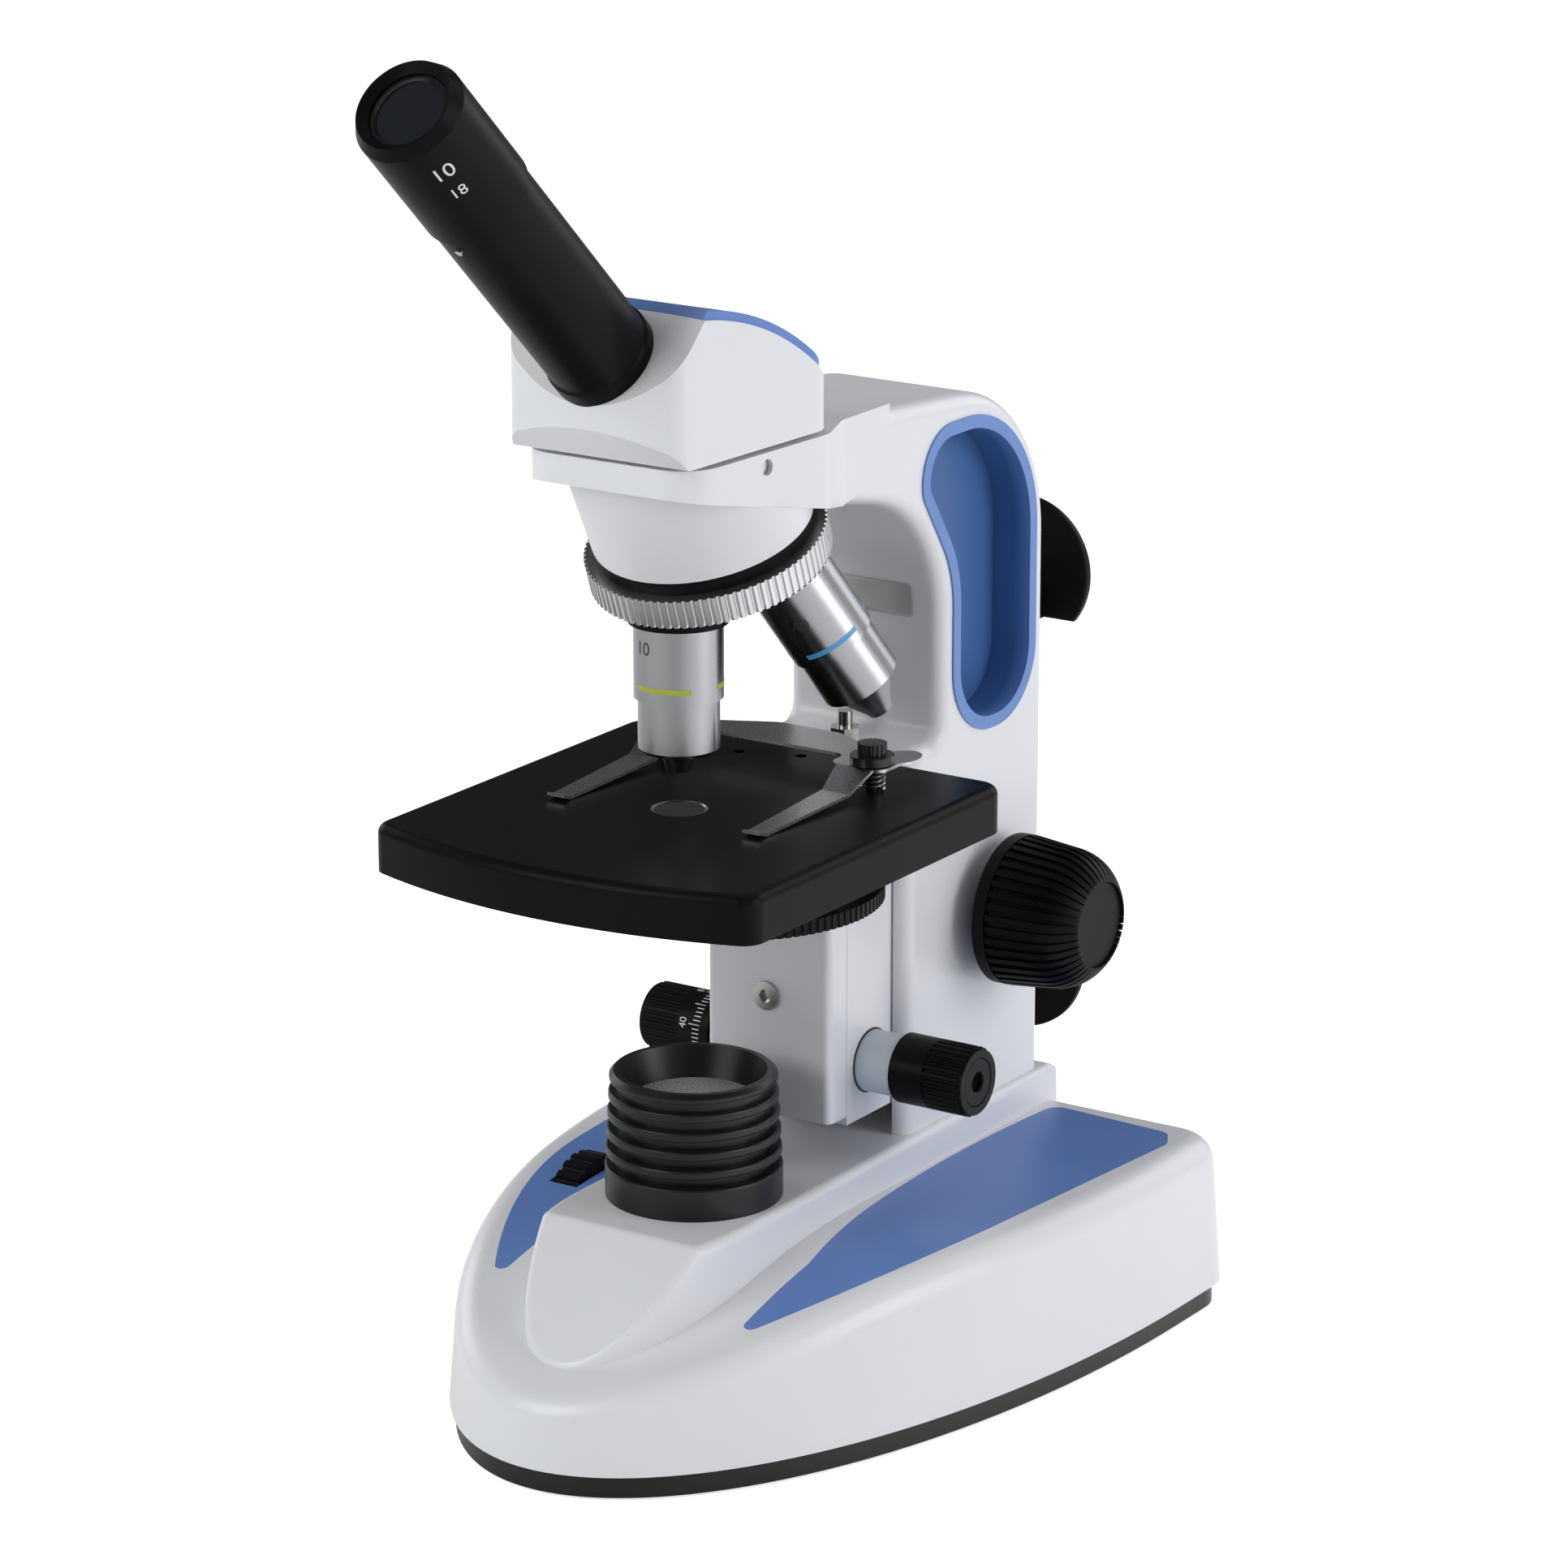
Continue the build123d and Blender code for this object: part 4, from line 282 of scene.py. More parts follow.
sheet_tree.links.new(glow.outputs[0], lit_paper.inputs[1])
sheet_tree.links.new(lit_paper.outputs[0], sheet_tree.nodes["Material Output"].inputs["Surface"])
print("paper glow:", PAPER_GLOW)

# %% [markdown]
# Every finish is a small set of nodes on the object's own coordinates, in metres, so a stipple of half a
# millimetre is half a millimetre on every piece. The helper below makes a shader whose colour drifts a
# little, whose roughness is mottled and whose surface has a fine grain: three things that real paint,
# plastic and metal all have, in different amounts.

# %% Finish helper
PATCHES_PER_METRE = 38.0


def finish(name, colour, drift, grain, rough, metal=0.0, shine=0.5, stretch=(1, 1, 1)):
    """A material with a drifting colour, mottled roughness and a fine grain.

    The grain is its size and its depth in millimetres, and rough is the roughness and its spread.
    """
    (grain_size, grain_depth), (roughness, spread) = grain, rough
    material = bpy.data.materials.new(name)
    material.use_nodes = True
    tree = material.node_tree
    shader = tree.nodes["Principled BSDF"]
    shader.inputs["Metallic"].default_value = metal
    shader.inputs["Specular IOR Level"].default_value = shine
    place = tree.nodes.new("ShaderNodeTexCoord")
    stretched = tree.nodes.new("ShaderNodeMapping")
    stretched.inputs["Scale"].default_value = stretch
    tree.links.new(place.outputs["Object"], stretched.inputs["Vector"])
    patches = tree.nodes.new("ShaderNodeTexNoise")
    patches.inputs["Scale"].default_value = PATCHES_PER_METRE
    patches.inputs["Detail"].default_value = 3.0
    tree.links.new(place.outputs["Object"], patches.inputs["Vector"])
    tint = tree.nodes.new("ShaderNodeValToRGB")
    tint.name = "tint"
    darker, lighter = tint.color_ramp.elements
    darker.position, lighter.position = 0.3, 0.7
    darker.color = (*[c * (1 - drift) for c in colour], 1)
    lighter.color = (*[min(1.0, c * (1 + drift)) for c in colour], 1)
    tree.links.new(patches.outputs["Fac"], tint.inputs["Fac"])
    tree.links.new(tint.outputs["Color"], shader.inputs["Base Color"])
    grains = tree.nodes.new("ShaderNodeTexNoise")
    grains.inputs["Scale"].default_value = 1.0 / (grain_size * MM)
    grains.inputs["Detail"].default_value = 2.0
    tree.links.new(stretched.outputs["Vector"], grains.inputs["Vector"])
    mottle = mapped(tree, grains.outputs["Fac"], (0.0, 1.0), (roughness - spread, roughness + spread))
    tree.links.new(mottle, shader.inputs["Roughness"])
    bump = tree.nodes.new("ShaderNodeBump")
    bump.inputs["Strength"].default_value = 1.0
    bump.inputs["Distance"].default_value = grain_depth * MM
    tree.links.new(grains.outputs["Fac"], bump.inputs["Height"])
    tree.links.new(bump.outputs["Normal"], shader.inputs["Normal"])
    return material


print("a colour patch is about", round(1 / (PATCHES_PER_METRE * MM)), "mm wide")

# %% [markdown]
# The castings are aluminium with a sprayed white enamel, slightly blue and very finely stippled, under a
# thin clear coat. The blue inserts are moulded plastic with a satin skin. Black shows up in four ways:
# satin paint on the stage and the tubes, a glossier paint on the lamp and the base plate, moulded plastic
# on the small knobs, and rubber on the feet. A black finish needs little gloss: with the usual share of
# mirror light, a white studio would turn it grey.

# %% Paints, plastics and rubber
enamel = finish(
    "white_enamel", (0.77, 0.775, 0.80),
    drift=0.012, grain=(0.55, 0.012), rough=(0.36, 0.05),
)
enamel_coat = enamel.node_tree.nodes["Principled BSDF"]
enamel_coat.inputs["Coat Weight"].default_value = 0.2
enamel_coat.inputs["Coat Roughness"].default_value = 0.22
blue = finish(
    "blue_satin_plastic", (0.125, 0.235, 0.57),
    drift=0.03, grain=(0.35, 0.006), rough=(0.40, 0.05), shine=0.35,
)
sleeve_grey = finish(
    "pale_sleeve_paint", (0.58, 0.64, 0.70),
    drift=0.02, grain=(0.4, 0.006), rough=(0.45, 0.05),
)
black_paint = finish(
    "black_satin_paint", (0.006, 0.006, 0.007),
    drift=0.15, grain=(0.3, 0.004), rough=(0.34, 0.06), shine=0.055,
)
lamp_black = finish(
    "lamp_black_paint", (0.009, 0.009, 0.010),
    drift=0.15, grain=(0.3, 0.004), rough=(0.36, 0.06), shine=0.3,
)
black_plastic = finish(
    "black_moulded_plastic", (0.007, 0.007, 0.008),
    drift=0.15, grain=(0.4, 0.008), rough=(0.38, 0.07), shine=0.08,
)
rubber = finish(
    "black_rubber", (0.02, 0.02, 0.02),
    drift=0.2, grain=(0.6, 0.01), rough=(0.75, 0.08), shine=0.2,
)
board_green = finish(
    "circuit_board_green", (0.02, 0.14, 0.05),
    drift=0.15, grain=(0.8, 0.004), rough=(0.4, 0.05),
)
print("finishes so far:", len(bpy.data.materials))

# %% [markdown]
# The objectives and the grip ring of the nosepiece are turned metal with a satin plating: the roughness is
# mottled along fine rings, so the grain is stretched sideways and kept short along the barrel. Screws and
# shafts are plain steel, the slide clip is spring steel, its screws are blackened, and the bushes and the
# rack are brass.

# %% Metals
RINGS = (0.15, 0.15, 3.0)
ring_plate = finish(
    "ring_plate", (0.54, 0.54, 0.55),
    drift=0.03, grain=(0.25, 0.002), rough=(0.32, 0.05), metal=1.0, stretch=RINGS,
)
satin_plate = finish(
    "satin_plate", (0.30, 0.305, 0.315),
    drift=0.03, grain=(0.25, 0.002), rough=(0.25, 0.05), metal=1.0, stretch=RINGS,
)
gunmetal = finish(
    "gunmetal_plate", (0.24, 0.24, 0.26),
    drift=0.05, grain=(0.25, 0.002), rough=(0.30, 0.05), metal=1.0, stretch=RINGS,
)
steel = finish(
    "bright_steel", (0.48, 0.475, 0.46),
    drift=0.05, grain=(0.3, 0.003), rough=(0.22, 0.06), metal=1.0,
)
spring_steel = finish(
    "spring_steel", (0.50, 0.50, 0.51),
    drift=0.05, grain=(0.3, 0.002), rough=(0.28, 0.06), metal=1.0,
)
black_steel = finish(
    "blackened_steel", (0.03, 0.03, 0.032),
    drift=0.2, grain=(0.3, 0.003), rough=(0.25, 0.05), metal=0.6,
)
brass = finish(
    "machined_brass", (0.70, 0.50, 0.20),
    drift=0.06, grain=(0.3, 0.004), rough=(0.28, 0.06), metal=1.0,
)
print("finishes so far:", len(bpy.data.materials))

# %% [markdown]
# A lens is clear glass, so its shader lets light through. The lamp lens is frosted on its upper side to
# spread the light of the diode, which makes it look milky grey when the lamp is off. The lenses of the
# stage and the eyepiece are coated and have a dark hollow behind them; the shade of that hollow is painted
# into their colour, so they are shown as dark polished glass that lets no light through.


# %% Glass
def glass(name, colour, rough, clear):
    """Glass that lets a share of the light through, with a faint unevenness."""
    material = finish(name, colour, drift=0.02, grain=(0.6, 0.001), rough=(rough, rough / 4))
    shader = material.node_tree.nodes["Principled BSDF"]
    shader.inputs["Transmission Weight"].default_value = clear
    shader.inputs["IOR"].default_value = 1.5
    return material


lens_glass = glass("lens_glass", (0.93, 0.96, 0.97), rough=0.02, clear=0.96)
frosted_glass = glass("frosted_lamp_glass", (0.55, 0.555, 0.56), rough=0.28, clear=0.2)
# painted shade: this dark colour stands in for the shaded hollow behind the stage and eyepiece lenses
hollow_shade_glass = glass("glass_painted_hollow_shade", (0.016, 0.018, 0.024), rough=0.05, clear=0.0)
diode = glass("diode_dome", (0.9, 0.82, 0.5), rough=0.15, clear=0.4)
print("finishes so far:", len(bpy.data.materials))

# %% [markdown]
# Two mouldings get painted shade. The hand grips are tubs let into the arm: their floor, which sits deep in
# the casting, is painted a darker blue than the rim, for the shade that falls in the tub. The ribs of a
# coarse knob are painted a shade darker than its flat end, for the shade held in their hollows. Both
# borders lie at a fixed distance from the middle plane, so the sideways coordinate of the object makes the
# mask, whichever side the piece is on, and neither moulding has to be cut in two.

# %% Painted shade on two mouldings
GRIP_SHADE_BORDER = (18.5, 22.4)
KNOB_SHADE_BORDER = (54.0, 54.4)


def two_tone(material, border, shade_tone):
    """Paint a darker shade tone up to a border and keep the colour past it.

    The border is where the blend starts and ends, in millimetres from the middle plane.
    """
    tree = material.node_tree
    place = tree.nodes.new("ShaderNodeTexCoord")
    part = tree.nodes.new("ShaderNodeSeparateXYZ")
    tree.links.new(place.outputs["Object"], part.inputs["Vector"])
    distance = calculated(tree, "ABSOLUTE", part.outputs["X"], 0.0)
    near, far = border
    blend = tree.nodes.new("ShaderNodeMix")
    blend.data_type = "RGBA"
    blend.inputs["A"].default_value = (*shade_tone, 1)
    tree.links.new(mapped(tree, distance, (near * MM, far * MM), (0.0, 1.0)), blend.inputs["Factor"])
    tree.links.new(tree.nodes["tint"].outputs["Color"], blend.inputs["B"])
    tree.links.new(blend.outputs["Result"], tree.nodes["Principled BSDF"].inputs["Base Color"])


grip_blue_shaded = finish(
    "grip_blue_with_painted_shade", (0.14, 0.26, 0.58),
    drift=0.03, grain=(0.35, 0.006), rough=(0.42, 0.05), shine=0.35,
)
# painted shade: the grip floor, deep in the tub, takes a darker blue for the shade that falls there
two_tone(grip_blue_shaded, GRIP_SHADE_BORDER, (0.055, 0.14, 0.35))
knob_black_shaded = finish(
    "knob_black_with_painted_shade", (0.010, 0.010, 0.011),
    drift=0.1, grain=(0.25, 0.010), rough=(0.42, 0.06), shine=0.09,
)
# painted shade: the knob ribs take a darker black for the shade held in their hollows
two_tone(knob_black_shaded, KNOB_SHADE_BORDER, (0.005, 0.005, 0.006))
print("finishes so far:", len(bpy.data.materials))

# %% [markdown]
# Each solid keeps its mesh and takes one finish. What isn't in the list is a screw, a shaft or a spring,
# and takes bright steel.

# %% Finishes on the solids
finishes = {
    "base_casting": enamel,
    "arm": enamel,
    "nosepiece_mount": enamel,
    "coarse_slide": enamel,
    "stage_bracket": enamel,
    "head_housing": enamel,
    "fine_sleeves": sleeve_grey,
    "base_panel_left": blue,
    "base_panel_right": blue,
    "grip_insert_left": grip_blue_shaded,
    "grip_insert_right": grip_blue_shaded,
    "head_cap": blue,
    "base_plate": lamp_black,
    "stage": black_paint,
    "lamp_housing": lamp_black,
    "nosepiece_turret": black_paint,
    "eyepiece_tube": black_paint,
    "eyepiece": black_paint,
    "cord_hook_upper": black_plastic,
    "cord_hook_lower": black_plastic,
    "coarse_knob_left": knob_black_shaded,
    "coarse_knob_right": knob_black_shaded,
    "fine_knob_left": black_plastic,
    "fine_knob_right": black_plastic,
    "dimmer_wheel": black_plastic,
    "dimmer_pot": black_plastic,
    "dc_inlet": black_plastic,
    "disc_diaphragm": black_plastic,
    "nosepiece_ring": ring_plate,
    "objective_4": satin_plate,
    "objective_10": satin_plate,
    "objective_40": satin_plate,
    "objective_40_nose": gunmetal,
    "slide_clip": spring_steel,
    "clip_screws": black_steel,
    "coarse_bushes": brass,
    "rack": brass,
    "lamp_lens": frosted_glass,
    "stage_lens": hollow_shade_glass,
    "objective_lenses": lens_glass,
    "objective_40_lens": lens_glass,
    "prism": lens_glass,
    "eyepiece_lens": hollow_shade_glass,
    "rubber_feet": rubber,
    "circuit_board": board_green,
    "led_module": diode,
}
for name, solid in nodes.items():
    solid.data.materials.clear()
    solid.data.materials.append(finishes.get(name, steel))
print("solids finished:", len(nodes), "of them in plain steel:", sorted(set(nodes) - set(finishes)))

# %% [markdown]
# What is added from here on is thin or small. Most of it is round, so one helper spins an outline about an
# axis. A whole turn spins only the outline's edges, which closes into a ring by itself. A part turn spins
# the filled outline, which leaves a cap at both ends. Two more helpers join one mesh to another and make a
# finished mesh a piece that rides on a body of the frame.

# %% Round pieces
WELD = 0.001
SHARP = math.radians(32)


def spun(outline, centre, axis, side, degrees=360.0, steps=96):
    """Spin an outline of (radius, height) points, in millimetres, about an axis, starting at a side."""
    mesh = bmesh.new()
    corners = [mesh.verts.new(centre + side * (r * MM) + axis * (h * MM)) for r, h in outline]
    whole = degrees == 360.0
    if whole:
        shape = corners + [mesh.edges.new((corners[i - 1], corners[i])) for i in range(len(corners))]
    else:
        cap = mesh.faces.new(corners)
        shape = [cap, *cap.verts, *cap.edges]
    bmesh.ops.spin(
        mesh, geom=shape, cent=centre, axis=axis, angle=math.radians(degrees), steps=steps, use_merge=whole
    )
    bmesh.ops.remove_doubles(mesh, verts=mesh.verts, dist=WELD * MM)
    bmesh.ops.recalc_face_normals(mesh, faces=mesh.faces)
    return mesh


def join(whole, part):
    """Add one bmesh to another, and free it."""
    carrier = bpy.data.meshes.new("carrier")
    part.to_mesh(carrier)
    part.free()
    whole.from_mesh(carrier)
    bpy.data.meshes.remove(carrier)


def add_piece(name, mesh, material, body):
    """Make a finished bmesh a piece that rides on a body."""
    data = bpy.data.meshes.new(name)
    mesh.to_mesh(data)
    mesh.free()
    data.shade_smooth()
    data.set_sharp_from_angle(angle=SHARP)
    data.materials.append(material)
    piece = bpy.data.objects.new(name, data)
    scene.collection.objects.link(piece)
    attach(piece, body)
    return piece


print("points closer than", WELD, "mm are merged")

# %% [markdown]
# Numbers are printed or engraved round barrels. A number starts as a text curve, which becomes a flat mesh
# with the thickness of a coat of ink. It is sliced into narrow strips, because only a mesh with edges
# across it can bend, and then each point is laid round the barrel: its distance along the line becomes an
# angle. A modifier could bend it too, but this way the finished place is in the mesh.

# %% Numbers
INK = 0.04
STRIP = 0.4
LETTER_WELD = 1e-5


def flat_number(text, tall):
    """A number as a thin mesh on the XY plane, centred, of a given height in millimetres."""
    outline = bpy.data.curves.new("number_outline", "FONT")
    outline.body = text
    outline.align_x = "CENTER"
    outline.align_y = "CENTER"
    outline.resolution_u = 4
    outline.extrude = INK * MM
    holder = bpy.data.objects.new("number_outline", outline)
    scene.collection.objects.link(holder)
    bpy.context.view_layer.update()
    data = bpy.data.meshes.new_from_object(holder)
    flat = bmesh.new()
    flat.from_mesh(data)
    bpy.data.objects.remove(holder)
    bpy.data.curves.remove(outline)
    bpy.data.meshes.remove(data)
    bmesh.ops.remove_doubles(flat, verts=flat.verts, dist=LETTER_WELD)
    low = Vector([min(v.co[i] for v in flat.verts) for i in range(3)])
    high = Vector([max(v.co[i] for v in flat.verts) for i in range(3)])
    size = tall * MM / (high.y - low.y)
    bmesh.ops.translate(flat, verts=flat.verts, vec=(-(low.x + high.x) / 2, -(low.y + high.y) / 2, 0))
    bmesh.ops.scale(flat, verts=flat.verts, vec=(size, size, 1.0))
    half = (high.x - low.x) * size / 2
    for cut in range(1, int(2 * half / (STRIP * MM)) + 1):
        whole = [*flat.verts, *flat.edges, *flat.faces]
        bmesh.ops.bisect_plane(flat, geom=whole, plane_co=(cut * STRIP * MM - half, 0, 0), plane_no=RIGHT)
    return flat


def wrapped(flat, centre, up, facing, radius):
    """Lay a flat number round a barrel, upright along its axis and centred on a facing direction."""
    along = up.cross(facing)
    for point in flat.verts:
        turn = point.co.x / (radius * MM)
        out = radius * MM + point.co.z
        point.co = centre + up * point.co.y + (facing * math.cos(turn) + along * math.sin(turn)) * out
    bmesh.ops.recalc_face_normals(flat, faces=flat.faces)
    return flat


print("ink is", INK, "mm thick")

# %% [markdown]
# The three objectives stand round the turret's axis, a third of a turn apart. The frame knows that axis
# from the joint that turns the turret, so the place and direction of each objective are counted from the
# joint, and nothing has to be measured again. Each barrel is seated at the same distance below the point
# where the three meet.

# %% Where the objectives point
BARREL = 10.75
SEAT = 49.705
THIRD = 120


def joint_named(name):
    """What the frame says about a joint."""
    return next(joint for joint in frame["joints"] if joint["name"] == name)


def turned(vector, axis, degrees):
    """A vector turned about an axis."""
    return Matrix.Rotation(math.radians(degrees), 3, axis) @ vector


turret = joint_named("nosepiece_turn")
turret_axis = Vector(turret["axis"]).normalized()
turret_apex = Vector(turret["pos_m"])
right_turn = THIRD if turned(-UP, turret_axis, THIRD).x > 0 else -THIRD


def barrel_frame(turn, twist):
    """Seat, upward and facing direction of an objective.

    The turn is about the turret's axis and the twist about the objective's own, both in degrees.
    """
    up = turned(UP, turret_axis, turn)
    facing = FRONT - up * up.dot(FRONT)
    return turret_apex - up * (SEAT * MM), up, turned(facing.normalized(), up, twist)


print("turret apex at", [round(x, 4) for x in turret_apex])

# %% [markdown]
# Objectives carry a painted ring whose colour tells the magnification at a glance: red for 4, yellow for
# 10, light blue for 40. Here the ring is broken into three arcs of 78 degrees. Above it the barrel is
# engraved with the magnification. Both could be painted on by a mask in the metal's material, but as pieces
# of their own they have clean edges at any size of picture.

# %% Colour rings and engraved numbers
RING_TALL = 1.3
RING_SUNK = 0.1
ARC = 78
ARC_STEPS = 24
DIGIT_TALL = 3.2


def mark_paint(name, colour):
    """Paint for a colour ring."""
    return finish(name, colour, drift=0.04, grain=(0.3, 0.003), rough=(0.4, 0.05))


engraving = finish(
    "engraved_black", (0.03, 0.03, 0.032),
    drift=0.1, grain=(0.2, 0.003), rough=(0.5, 0.05),
)
ring_red = mark_paint("ring_red_paint", (0.52, 0.035, 0.03))
ring_yellow = mark_paint("ring_yellow_paint", (0.42, 0.47, 0.035))
ring_blue = mark_paint("ring_blue_paint", (0.09, 0.38, 0.70))
# Number, paint and turn, then depth below the seat and twist, first for the ring and then for the number
markings = [
    ("4", ring_red, -right_turn, 13.5, 11.0, 5.0, -15.0),
    ("10", ring_yellow, 0, 14.7, 11.0, 4.8, -15.0),
    ("40", ring_blue, right_turn, 18.0, 35.5, 9.0, 15.0),
]
for number, paint, turn, ring_at, ring_twist, number_at, number_twist in markings:
    seat, up, facing = barrel_frame(turn, ring_twist)
    top = -ring_at + RING_TALL / 2
    inner, outer, bottom = BARREL - RING_SUNK, BARREL + INK, top - RING_TALL
    band = [(inner, top), (outer, top), (outer, bottom), (inner, bottom)]
    ring = bmesh.new()
    for third in range(3):
        join(ring, spun(band, seat, up, turned(facing, up, THIRD * third - ARC / 2), ARC, ARC_STEPS))
    add_piece(f"objective_{number}_colour_ring", ring, paint, "nosepiece")
    seat, up, facing = barrel_frame(turn, number_twist)
    digits = wrapped(flat_number(number, DIGIT_TALL), seat - up * (number_at * MM), up, facing, BARREL)
    add_piece(f"objective_{number}_number", digits, engraving, "nosepiece")
print("colour rings and numbers:", len(markings))

# %% [markdown]
# The left fine knob has a scale on its smooth ring: white ticks with a longer one at each fifth, and a
# plain number at each tenth. One tick is made, and the spin operator repeats it round the knob.

# %% Focus scale
FINE_Y = 57.0
FINE_Z = 76.0
FINE_RADIUS = 8.8
TICKS = 50
TICK_WIDE = 0.26
TICK_START = 2.4
NUMBER_EVERY = 10
NUMBER_START = 7.4
SCALE_DIGIT_TALL = 2.0
white_ink = finish("white_ink", (0.74, 0.76, 0.78), drift=0.04, grain=(0.2, 0.003), rough=(0.5, 0.05))
outwards = -RIGHT
knob_inner = -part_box("fine_knob_left")[1].x / MM
scale = bmesh.new()
for count, long in ((TICKS, 2.0), (TICKS // 5, 3.2)):
    tick = bmesh.ops.create_cube(scale, size=1.0)["verts"]
    bmesh.ops.scale(scale, verts=tick, vec=(long * MM, TICK_WIDE * MM, 2 * INK * MM))
    tick_spot = spot(-(knob_inner + TICK_START) - long / 2, FINE_Y, FINE_Z + FINE_RADIUS)
    bmesh.ops.translate(scale, verts=tick, vec=tick_spot)
    bmesh.ops.spin(
        scale,
        geom=[*tick, *{e for v in tick for e in v.link_edges}, *{f for v in tick for f in v.link_faces}],
        cent=spot(0, FINE_Y, FINE_Z),
        axis=outwards,
        angle=math.tau * (count - 1) / count,
        steps=count - 1,
        use_duplicate=True,
    )
for mark in range(0, TICKS, NUMBER_EVERY):
    digits = wrapped(
        flat_number(str(mark), SCALE_DIGIT_TALL),
        spot(-knob_inner - NUMBER_START, FINE_Y, FINE_Z),
        outwards,
        turned(UP, outwards, 360 / TICKS * mark),
        FINE_RADIUS,
    )
    join(scale, digits)
bmesh.ops.recalc_face_normals(scale, faces=scale.faces)
add_piece("fine_knob_scale", scale, white_ink, "fine_knobs")
print("scale ticks:", TICKS)

# %% [markdown]
# Each fine knob is held on its shaft by a screw that sits in a small round well, in the middle of a flat
# cap. The cap fills the knob's hollow end. Where the pale sleeve of the fine shaft enters the carriage, the
# clearance gap round it lies in shade, so a thin dark ring is laid there as painted shadow. Both are round,
# so each is one spun outline.

# %% Fine knob caps and painted gap shadows
CAP_RIM = [(0.0, 0.0), (6.1, 0.0), (6.1, 2.3), (5.9, 2.5), (2.8, 2.5)]
CAP_WELL = [(2.5, 2.2), (2.5, 0.9), (1.5, 0.9), (1.3, 0.4), (0.0, 0.4)]
GAP_SHADOW_OUTLINE = [(7.7, 0.0), (8.25, 0.0), (8.1, 0.3), (7.7, 0.3)]
HOLLOW = 2.6
CARRIAGE_SIDE = 18.1
# painted shadow: a thin dark ring stands in for the shade in the clearance gap round each fine sleeve
gap_shadow_paint = finish("painted_gap_shadow", (0.03, 0.032, 0.035), drift=0.2, grain=(0.3, 0.01), rough=(0.5, 0.1))
for side, sign in (("right", 1), ("left", -1)):
    out = Vector((sign, 0, 0))
    knob_end = max(abs(corner.x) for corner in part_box(f"fine_knob_{side}")) / MM
    cap = spun(CAP_RIM + CAP_WELL, spot(sign * (knob_end - HOLLOW), FINE_Y, FINE_Z), out, UP)
    add_piece(f"fine_knob_cap_{side}", cap, black_plastic, "fine_knobs")
    gap_shadow_ring = spun(GAP_SHADOW_OUTLINE, spot(sign * CARRIAGE_SIDE, FINE_Y, FINE_Z), out, UP)
    add_piece(f"fine_sleeve_gap_shadow_{side}", gap_shadow_ring, gap_shadow_paint, "coarse_carriage")
    print(side, "knob ends", round(knob_end, 1), "mm from the axis")

# %% [markdown]
# The lens in the stage is held by a slim metal ring that lies just below the stage's surface, so that a
# glass slide passes over it. It is spun from a small outline whose inner edge is bevelled towards the lens.

# %% Stage lens ring
STAGE_RING = [(6.2, 0.02), (6.5, 0.22), (6.95, 0.22), (6.95, 0.02)]
lens_top = spot(0, 0, lens_high.z / MM)
lens_ring = spun(STAGE_RING, lens_top, UP, RIGHT)
add_piece("stage_lens_ring", lens_ring, spring_steel, "stage_carriage")
print("stage lens ring, outer radius", STAGE_RING[2][0], "mm")

# %% [markdown]
# A small coil spring stands round each screw of the slide clip. When the clip's tips are lifted its ears go
# down, and the springs get shorter. A solid can't do that, so the coils are made here as a piece of their
# own, which takes the place of the solid springs: a circle of wire is spun round the screw while it climbs,
# and its two ends are closed.

# %% Clip springs
SCREW_RIGHT = 30.0
SCREW_BEHIND = 38.3
WIRE = 0.7
WIRE_SIDES = 10
COIL_RADIUS = 2.9
COIL_TURNS = 4
COIL_STEPS = 28 * COIL_TURNS
spring_low, spring_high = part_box("clip_springs")
spring_foot = spring_low.z / MM
climb = spring_high.z - spring_low.z - WIRE * MM
coils = bmesh.new()
for right in (-SCREW_RIGHT, SCREW_RIGHT):
    foot = spot(right, SCREW_BEHIND, spring_foot)
    start = foot + Vector((COIL_RADIUS * MM, 0, WIRE * MM / 2))
    upright = Matrix.Translation(start) @ Matrix.Rotation(math.pi / 2, 4, "X")
    circle = bmesh.ops.create_circle(coils, radius=WIRE * MM / 2, segments=WIRE_SIDES, matrix=upright)
    wire = circle["verts"]
    bmesh.ops.spin(
        coils,
        geom=[*wire, *{e for v in wire for e in v.link_edges}],
        cent=foot,
        axis=UP,
        dvec=(0, 0, climb / COIL_STEPS),
        angle=math.tau * COIL_TURNS,
        steps=COIL_STEPS,
    )
bmesh.ops.holes_fill(coils, edges=[e for e in coils.edges if e.is_boundary])
bmesh.ops.recalc_face_normals(coils, faces=coils.faces)
springs = add_piece("clip_spring_coils", coils, steel, "stage_carriage")
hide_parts("clip_springs")
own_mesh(springs)
print("coil springs, turns each:", COIL_TURNS)

# %% [markdown]
# A bare metal plate is stuck on the arm behind the nosepiece. A box would have sharp corners, so it starts
# as one flat face: its corners are bevelled as points, the face is given its thickness, and the front edge
# is broken slightly, so that it catches a line of light.

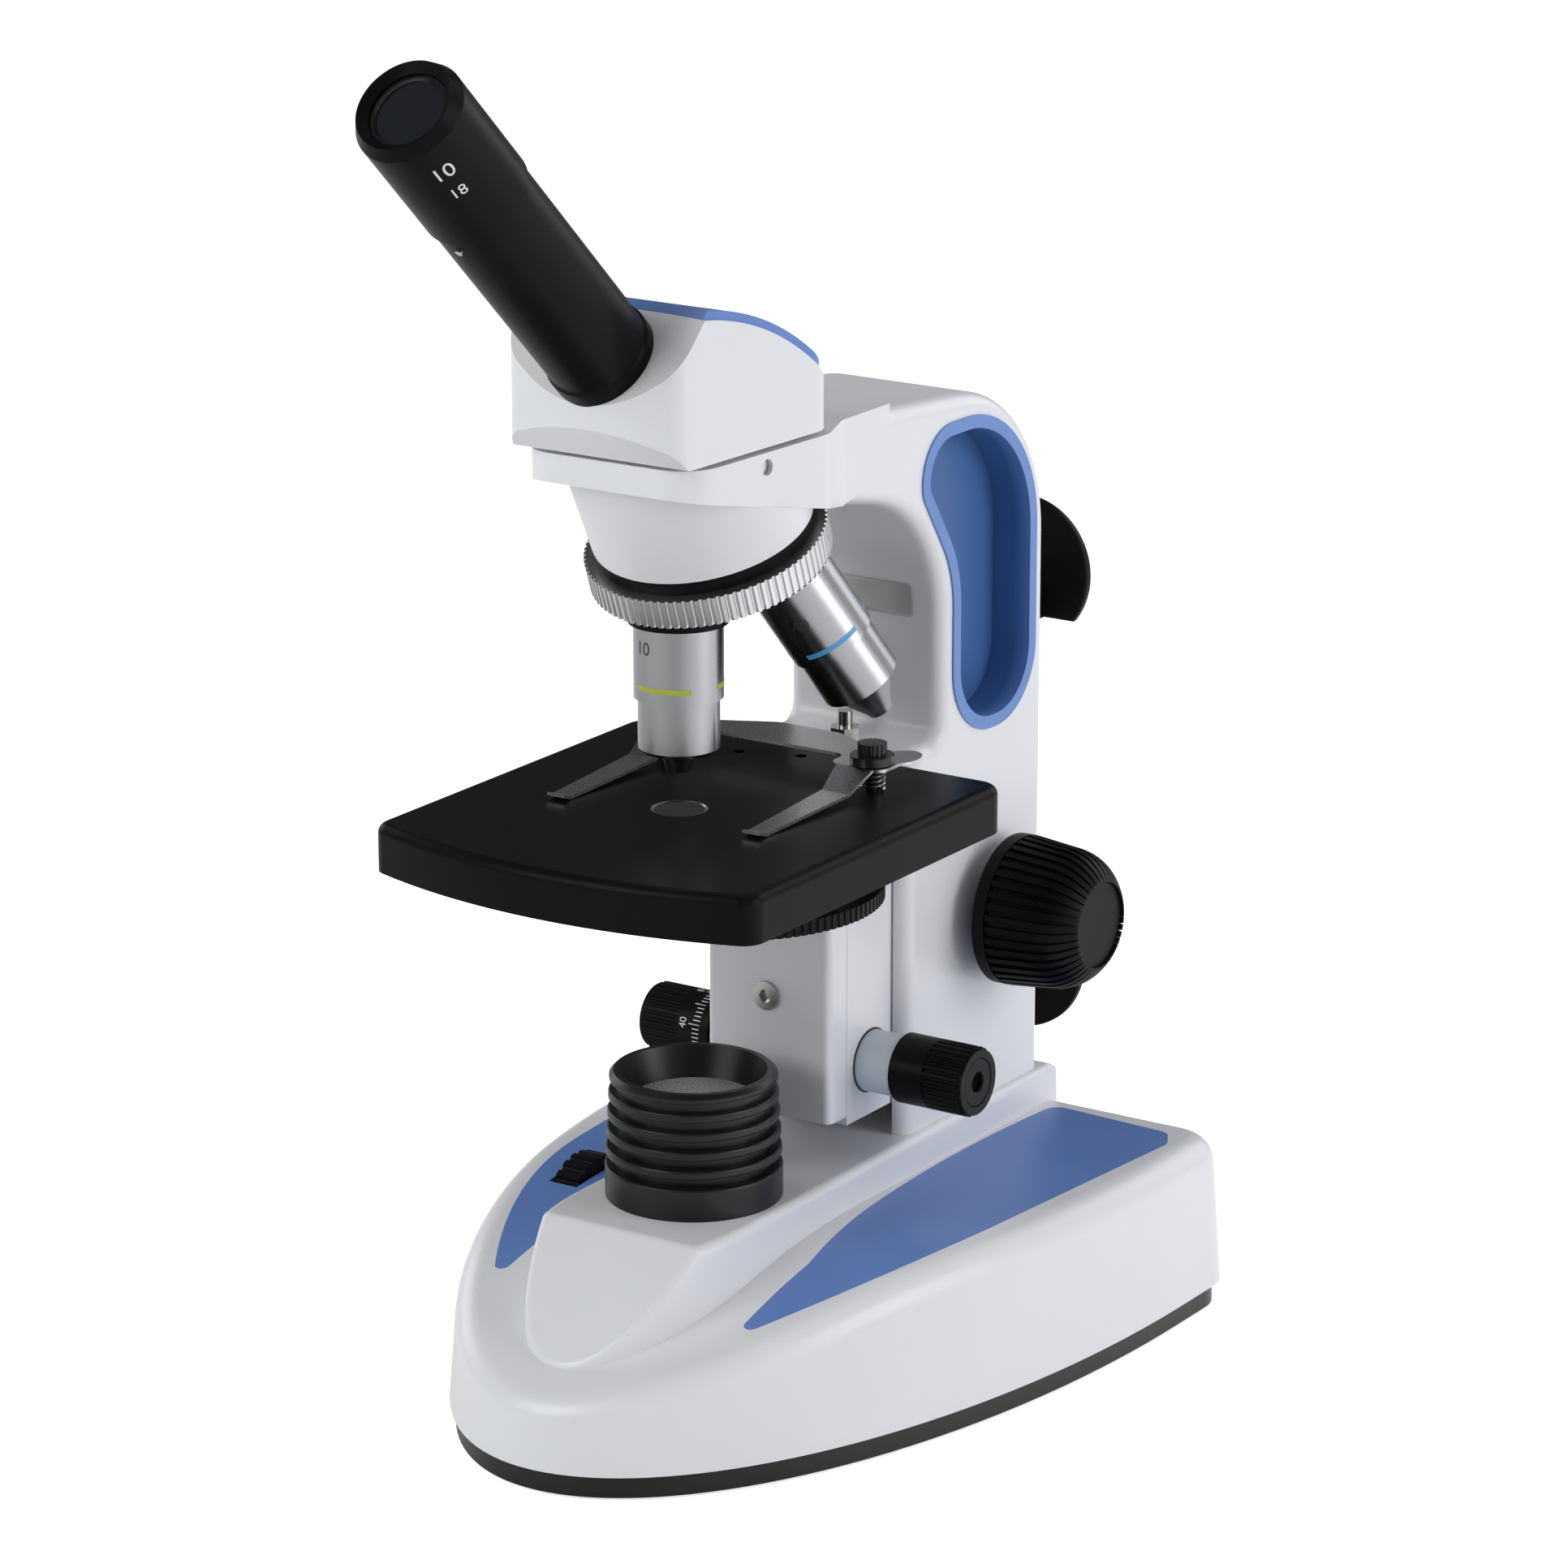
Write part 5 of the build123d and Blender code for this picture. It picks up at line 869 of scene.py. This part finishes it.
# %% Bare label plate
PLATE_WIDE = 20.4
PLATE_TALL = 8.5
PLATE_THICK = 0.4
PLATE_CORNER = 1.2
PLATE_EDGE = 0.15
foil = finish(
    "label_foil", (0.45, 0.455, 0.45),
    drift=0.05, grain=(0.5, 0.006), rough=(0.4, 0.08), metal=0.35, stretch=(0.1, 1, 1),
)
label = bmesh.new()
bmesh.ops.create_grid(label, x_segments=1, y_segments=1, size=0.5)
bmesh.ops.scale(label, verts=label.verts, vec=(PLATE_WIDE * MM, PLATE_TALL * MM, 1.0))
bmesh.ops.bevel(
    label,
    geom=label.verts[:],
    offset=PLATE_CORNER * MM,
    affect="VERTICES",
    segments=4,
    profile=0.5,
    material=-1,
)
raised = bmesh.ops.extrude_face_region(label, geom=label.faces[:])["geom"]
front = [v for v in raised if isinstance(v, bmesh.types.BMVert)]
bmesh.ops.translate(label, verts=front, vec=(0, 0, PLATE_THICK * MM))
bmesh.ops.recalc_face_normals(label, faces=label.faces)
front_edges = [e for e in label.edges if all(v.co.z > PLATE_THICK / 2 * MM for v in e.verts)]
bmesh.ops.bevel(
    label, geom=front_edges, offset=PLATE_EDGE * MM, affect="EDGES", segments=2, profile=0.5, material=-1
)
print("label plate", PLATE_WIDE, "by", PLATE_TALL, "mm")

# %% [markdown]
# The arm's arch begins behind the plate, so the plate bends with it, as thin metal does when it is pressed
# on. It is sliced across, because a flat face can't bend, and each point is moved forward as far as the
# arch has come forward at its height. Then the plate is stood up against the arm.

# %% Bend the plate along the arch
PLATE_SLICE = 0.9
PLATE_RIGHT = 4.2
PLATE_Z = 187.75
ARM_FRONT = 81.5
ARCH_START = 183.15
ARCH_RADIUS = 36.0
for cut in range(-4, 5):
    whole = [*label.verts, *label.edges, *label.faces]
    bmesh.ops.bisect_plane(label, geom=whole, plane_co=(0, PLATE_SLICE * cut * MM, 0), plane_no=(0, 1, 0))
for point in label.verts:
    rise = max(0.0, PLATE_Z + point.co.y / MM - ARCH_START)
    point.co.z += (ARCH_RADIUS - math.sqrt(ARCH_RADIUS**2 - rise**2)) * MM
stand_up = Matrix.Translation(spot(PLATE_RIGHT, ARM_FRONT, PLATE_Z)) @ Matrix.Rotation(math.pi / 2, 4, "X")
bmesh.ops.transform(label, matrix=stand_up, verts=label.verts)
plate = add_piece("label_plate", label, foil, "stand")
print("label plate faces:", len(plate.data.polygons))

# %% [markdown]
# The eyepiece lens is held by a slim threaded ring, which catches the light inside the dark mouth. The
# barrel is printed with two plain numbers in white: the magnification and, smaller, the width of the field.
# The tube rises at 43 degrees, so its axis comes from the joint that turns the eyepiece in it.

# %% Eyepiece ring and numbers
TUBE_SPOT = (0, -30.8, 268.2)
RETAINER = [(8.2, 0.35), (8.6, 0.9), (9.25, 0.9), (9.25, 0.02), (8.2, 0.02)]
RETAINER_AT = 96.6
EYEPIECE_RADIUS = 13.1
NUMBER_TWIST = 47
tube = Vector(joint_named("eyepiece_turn")["axis"]).normalized()
tube_seat = spot(*TUBE_SPOT)
below = Vector((0, -tube.z, tube.y)).normalized()
retainer = spun(RETAINER, tube_seat + tube * (RETAINER_AT * MM), tube, below)
add_piece("eyepiece_lens_ring", retainer, black_steel, "eyepiece_body")
number_side = turned(below, tube, NUMBER_TWIST)
for number, along, tall in (("10", 89.0, 4.0), ("18", 81.8, 3.0)):
    centre = tube_seat + tube * (along * MM)
    digits = wrapped(flat_number(number, tall), centre, tube, number_side, EYEPIECE_RADIUS)
    add_piece(f"eyepiece_number_{number}", digits, white_ink, "eyepiece_body")
print("eyepiece axis:", [round(x, 3) for x in tube])
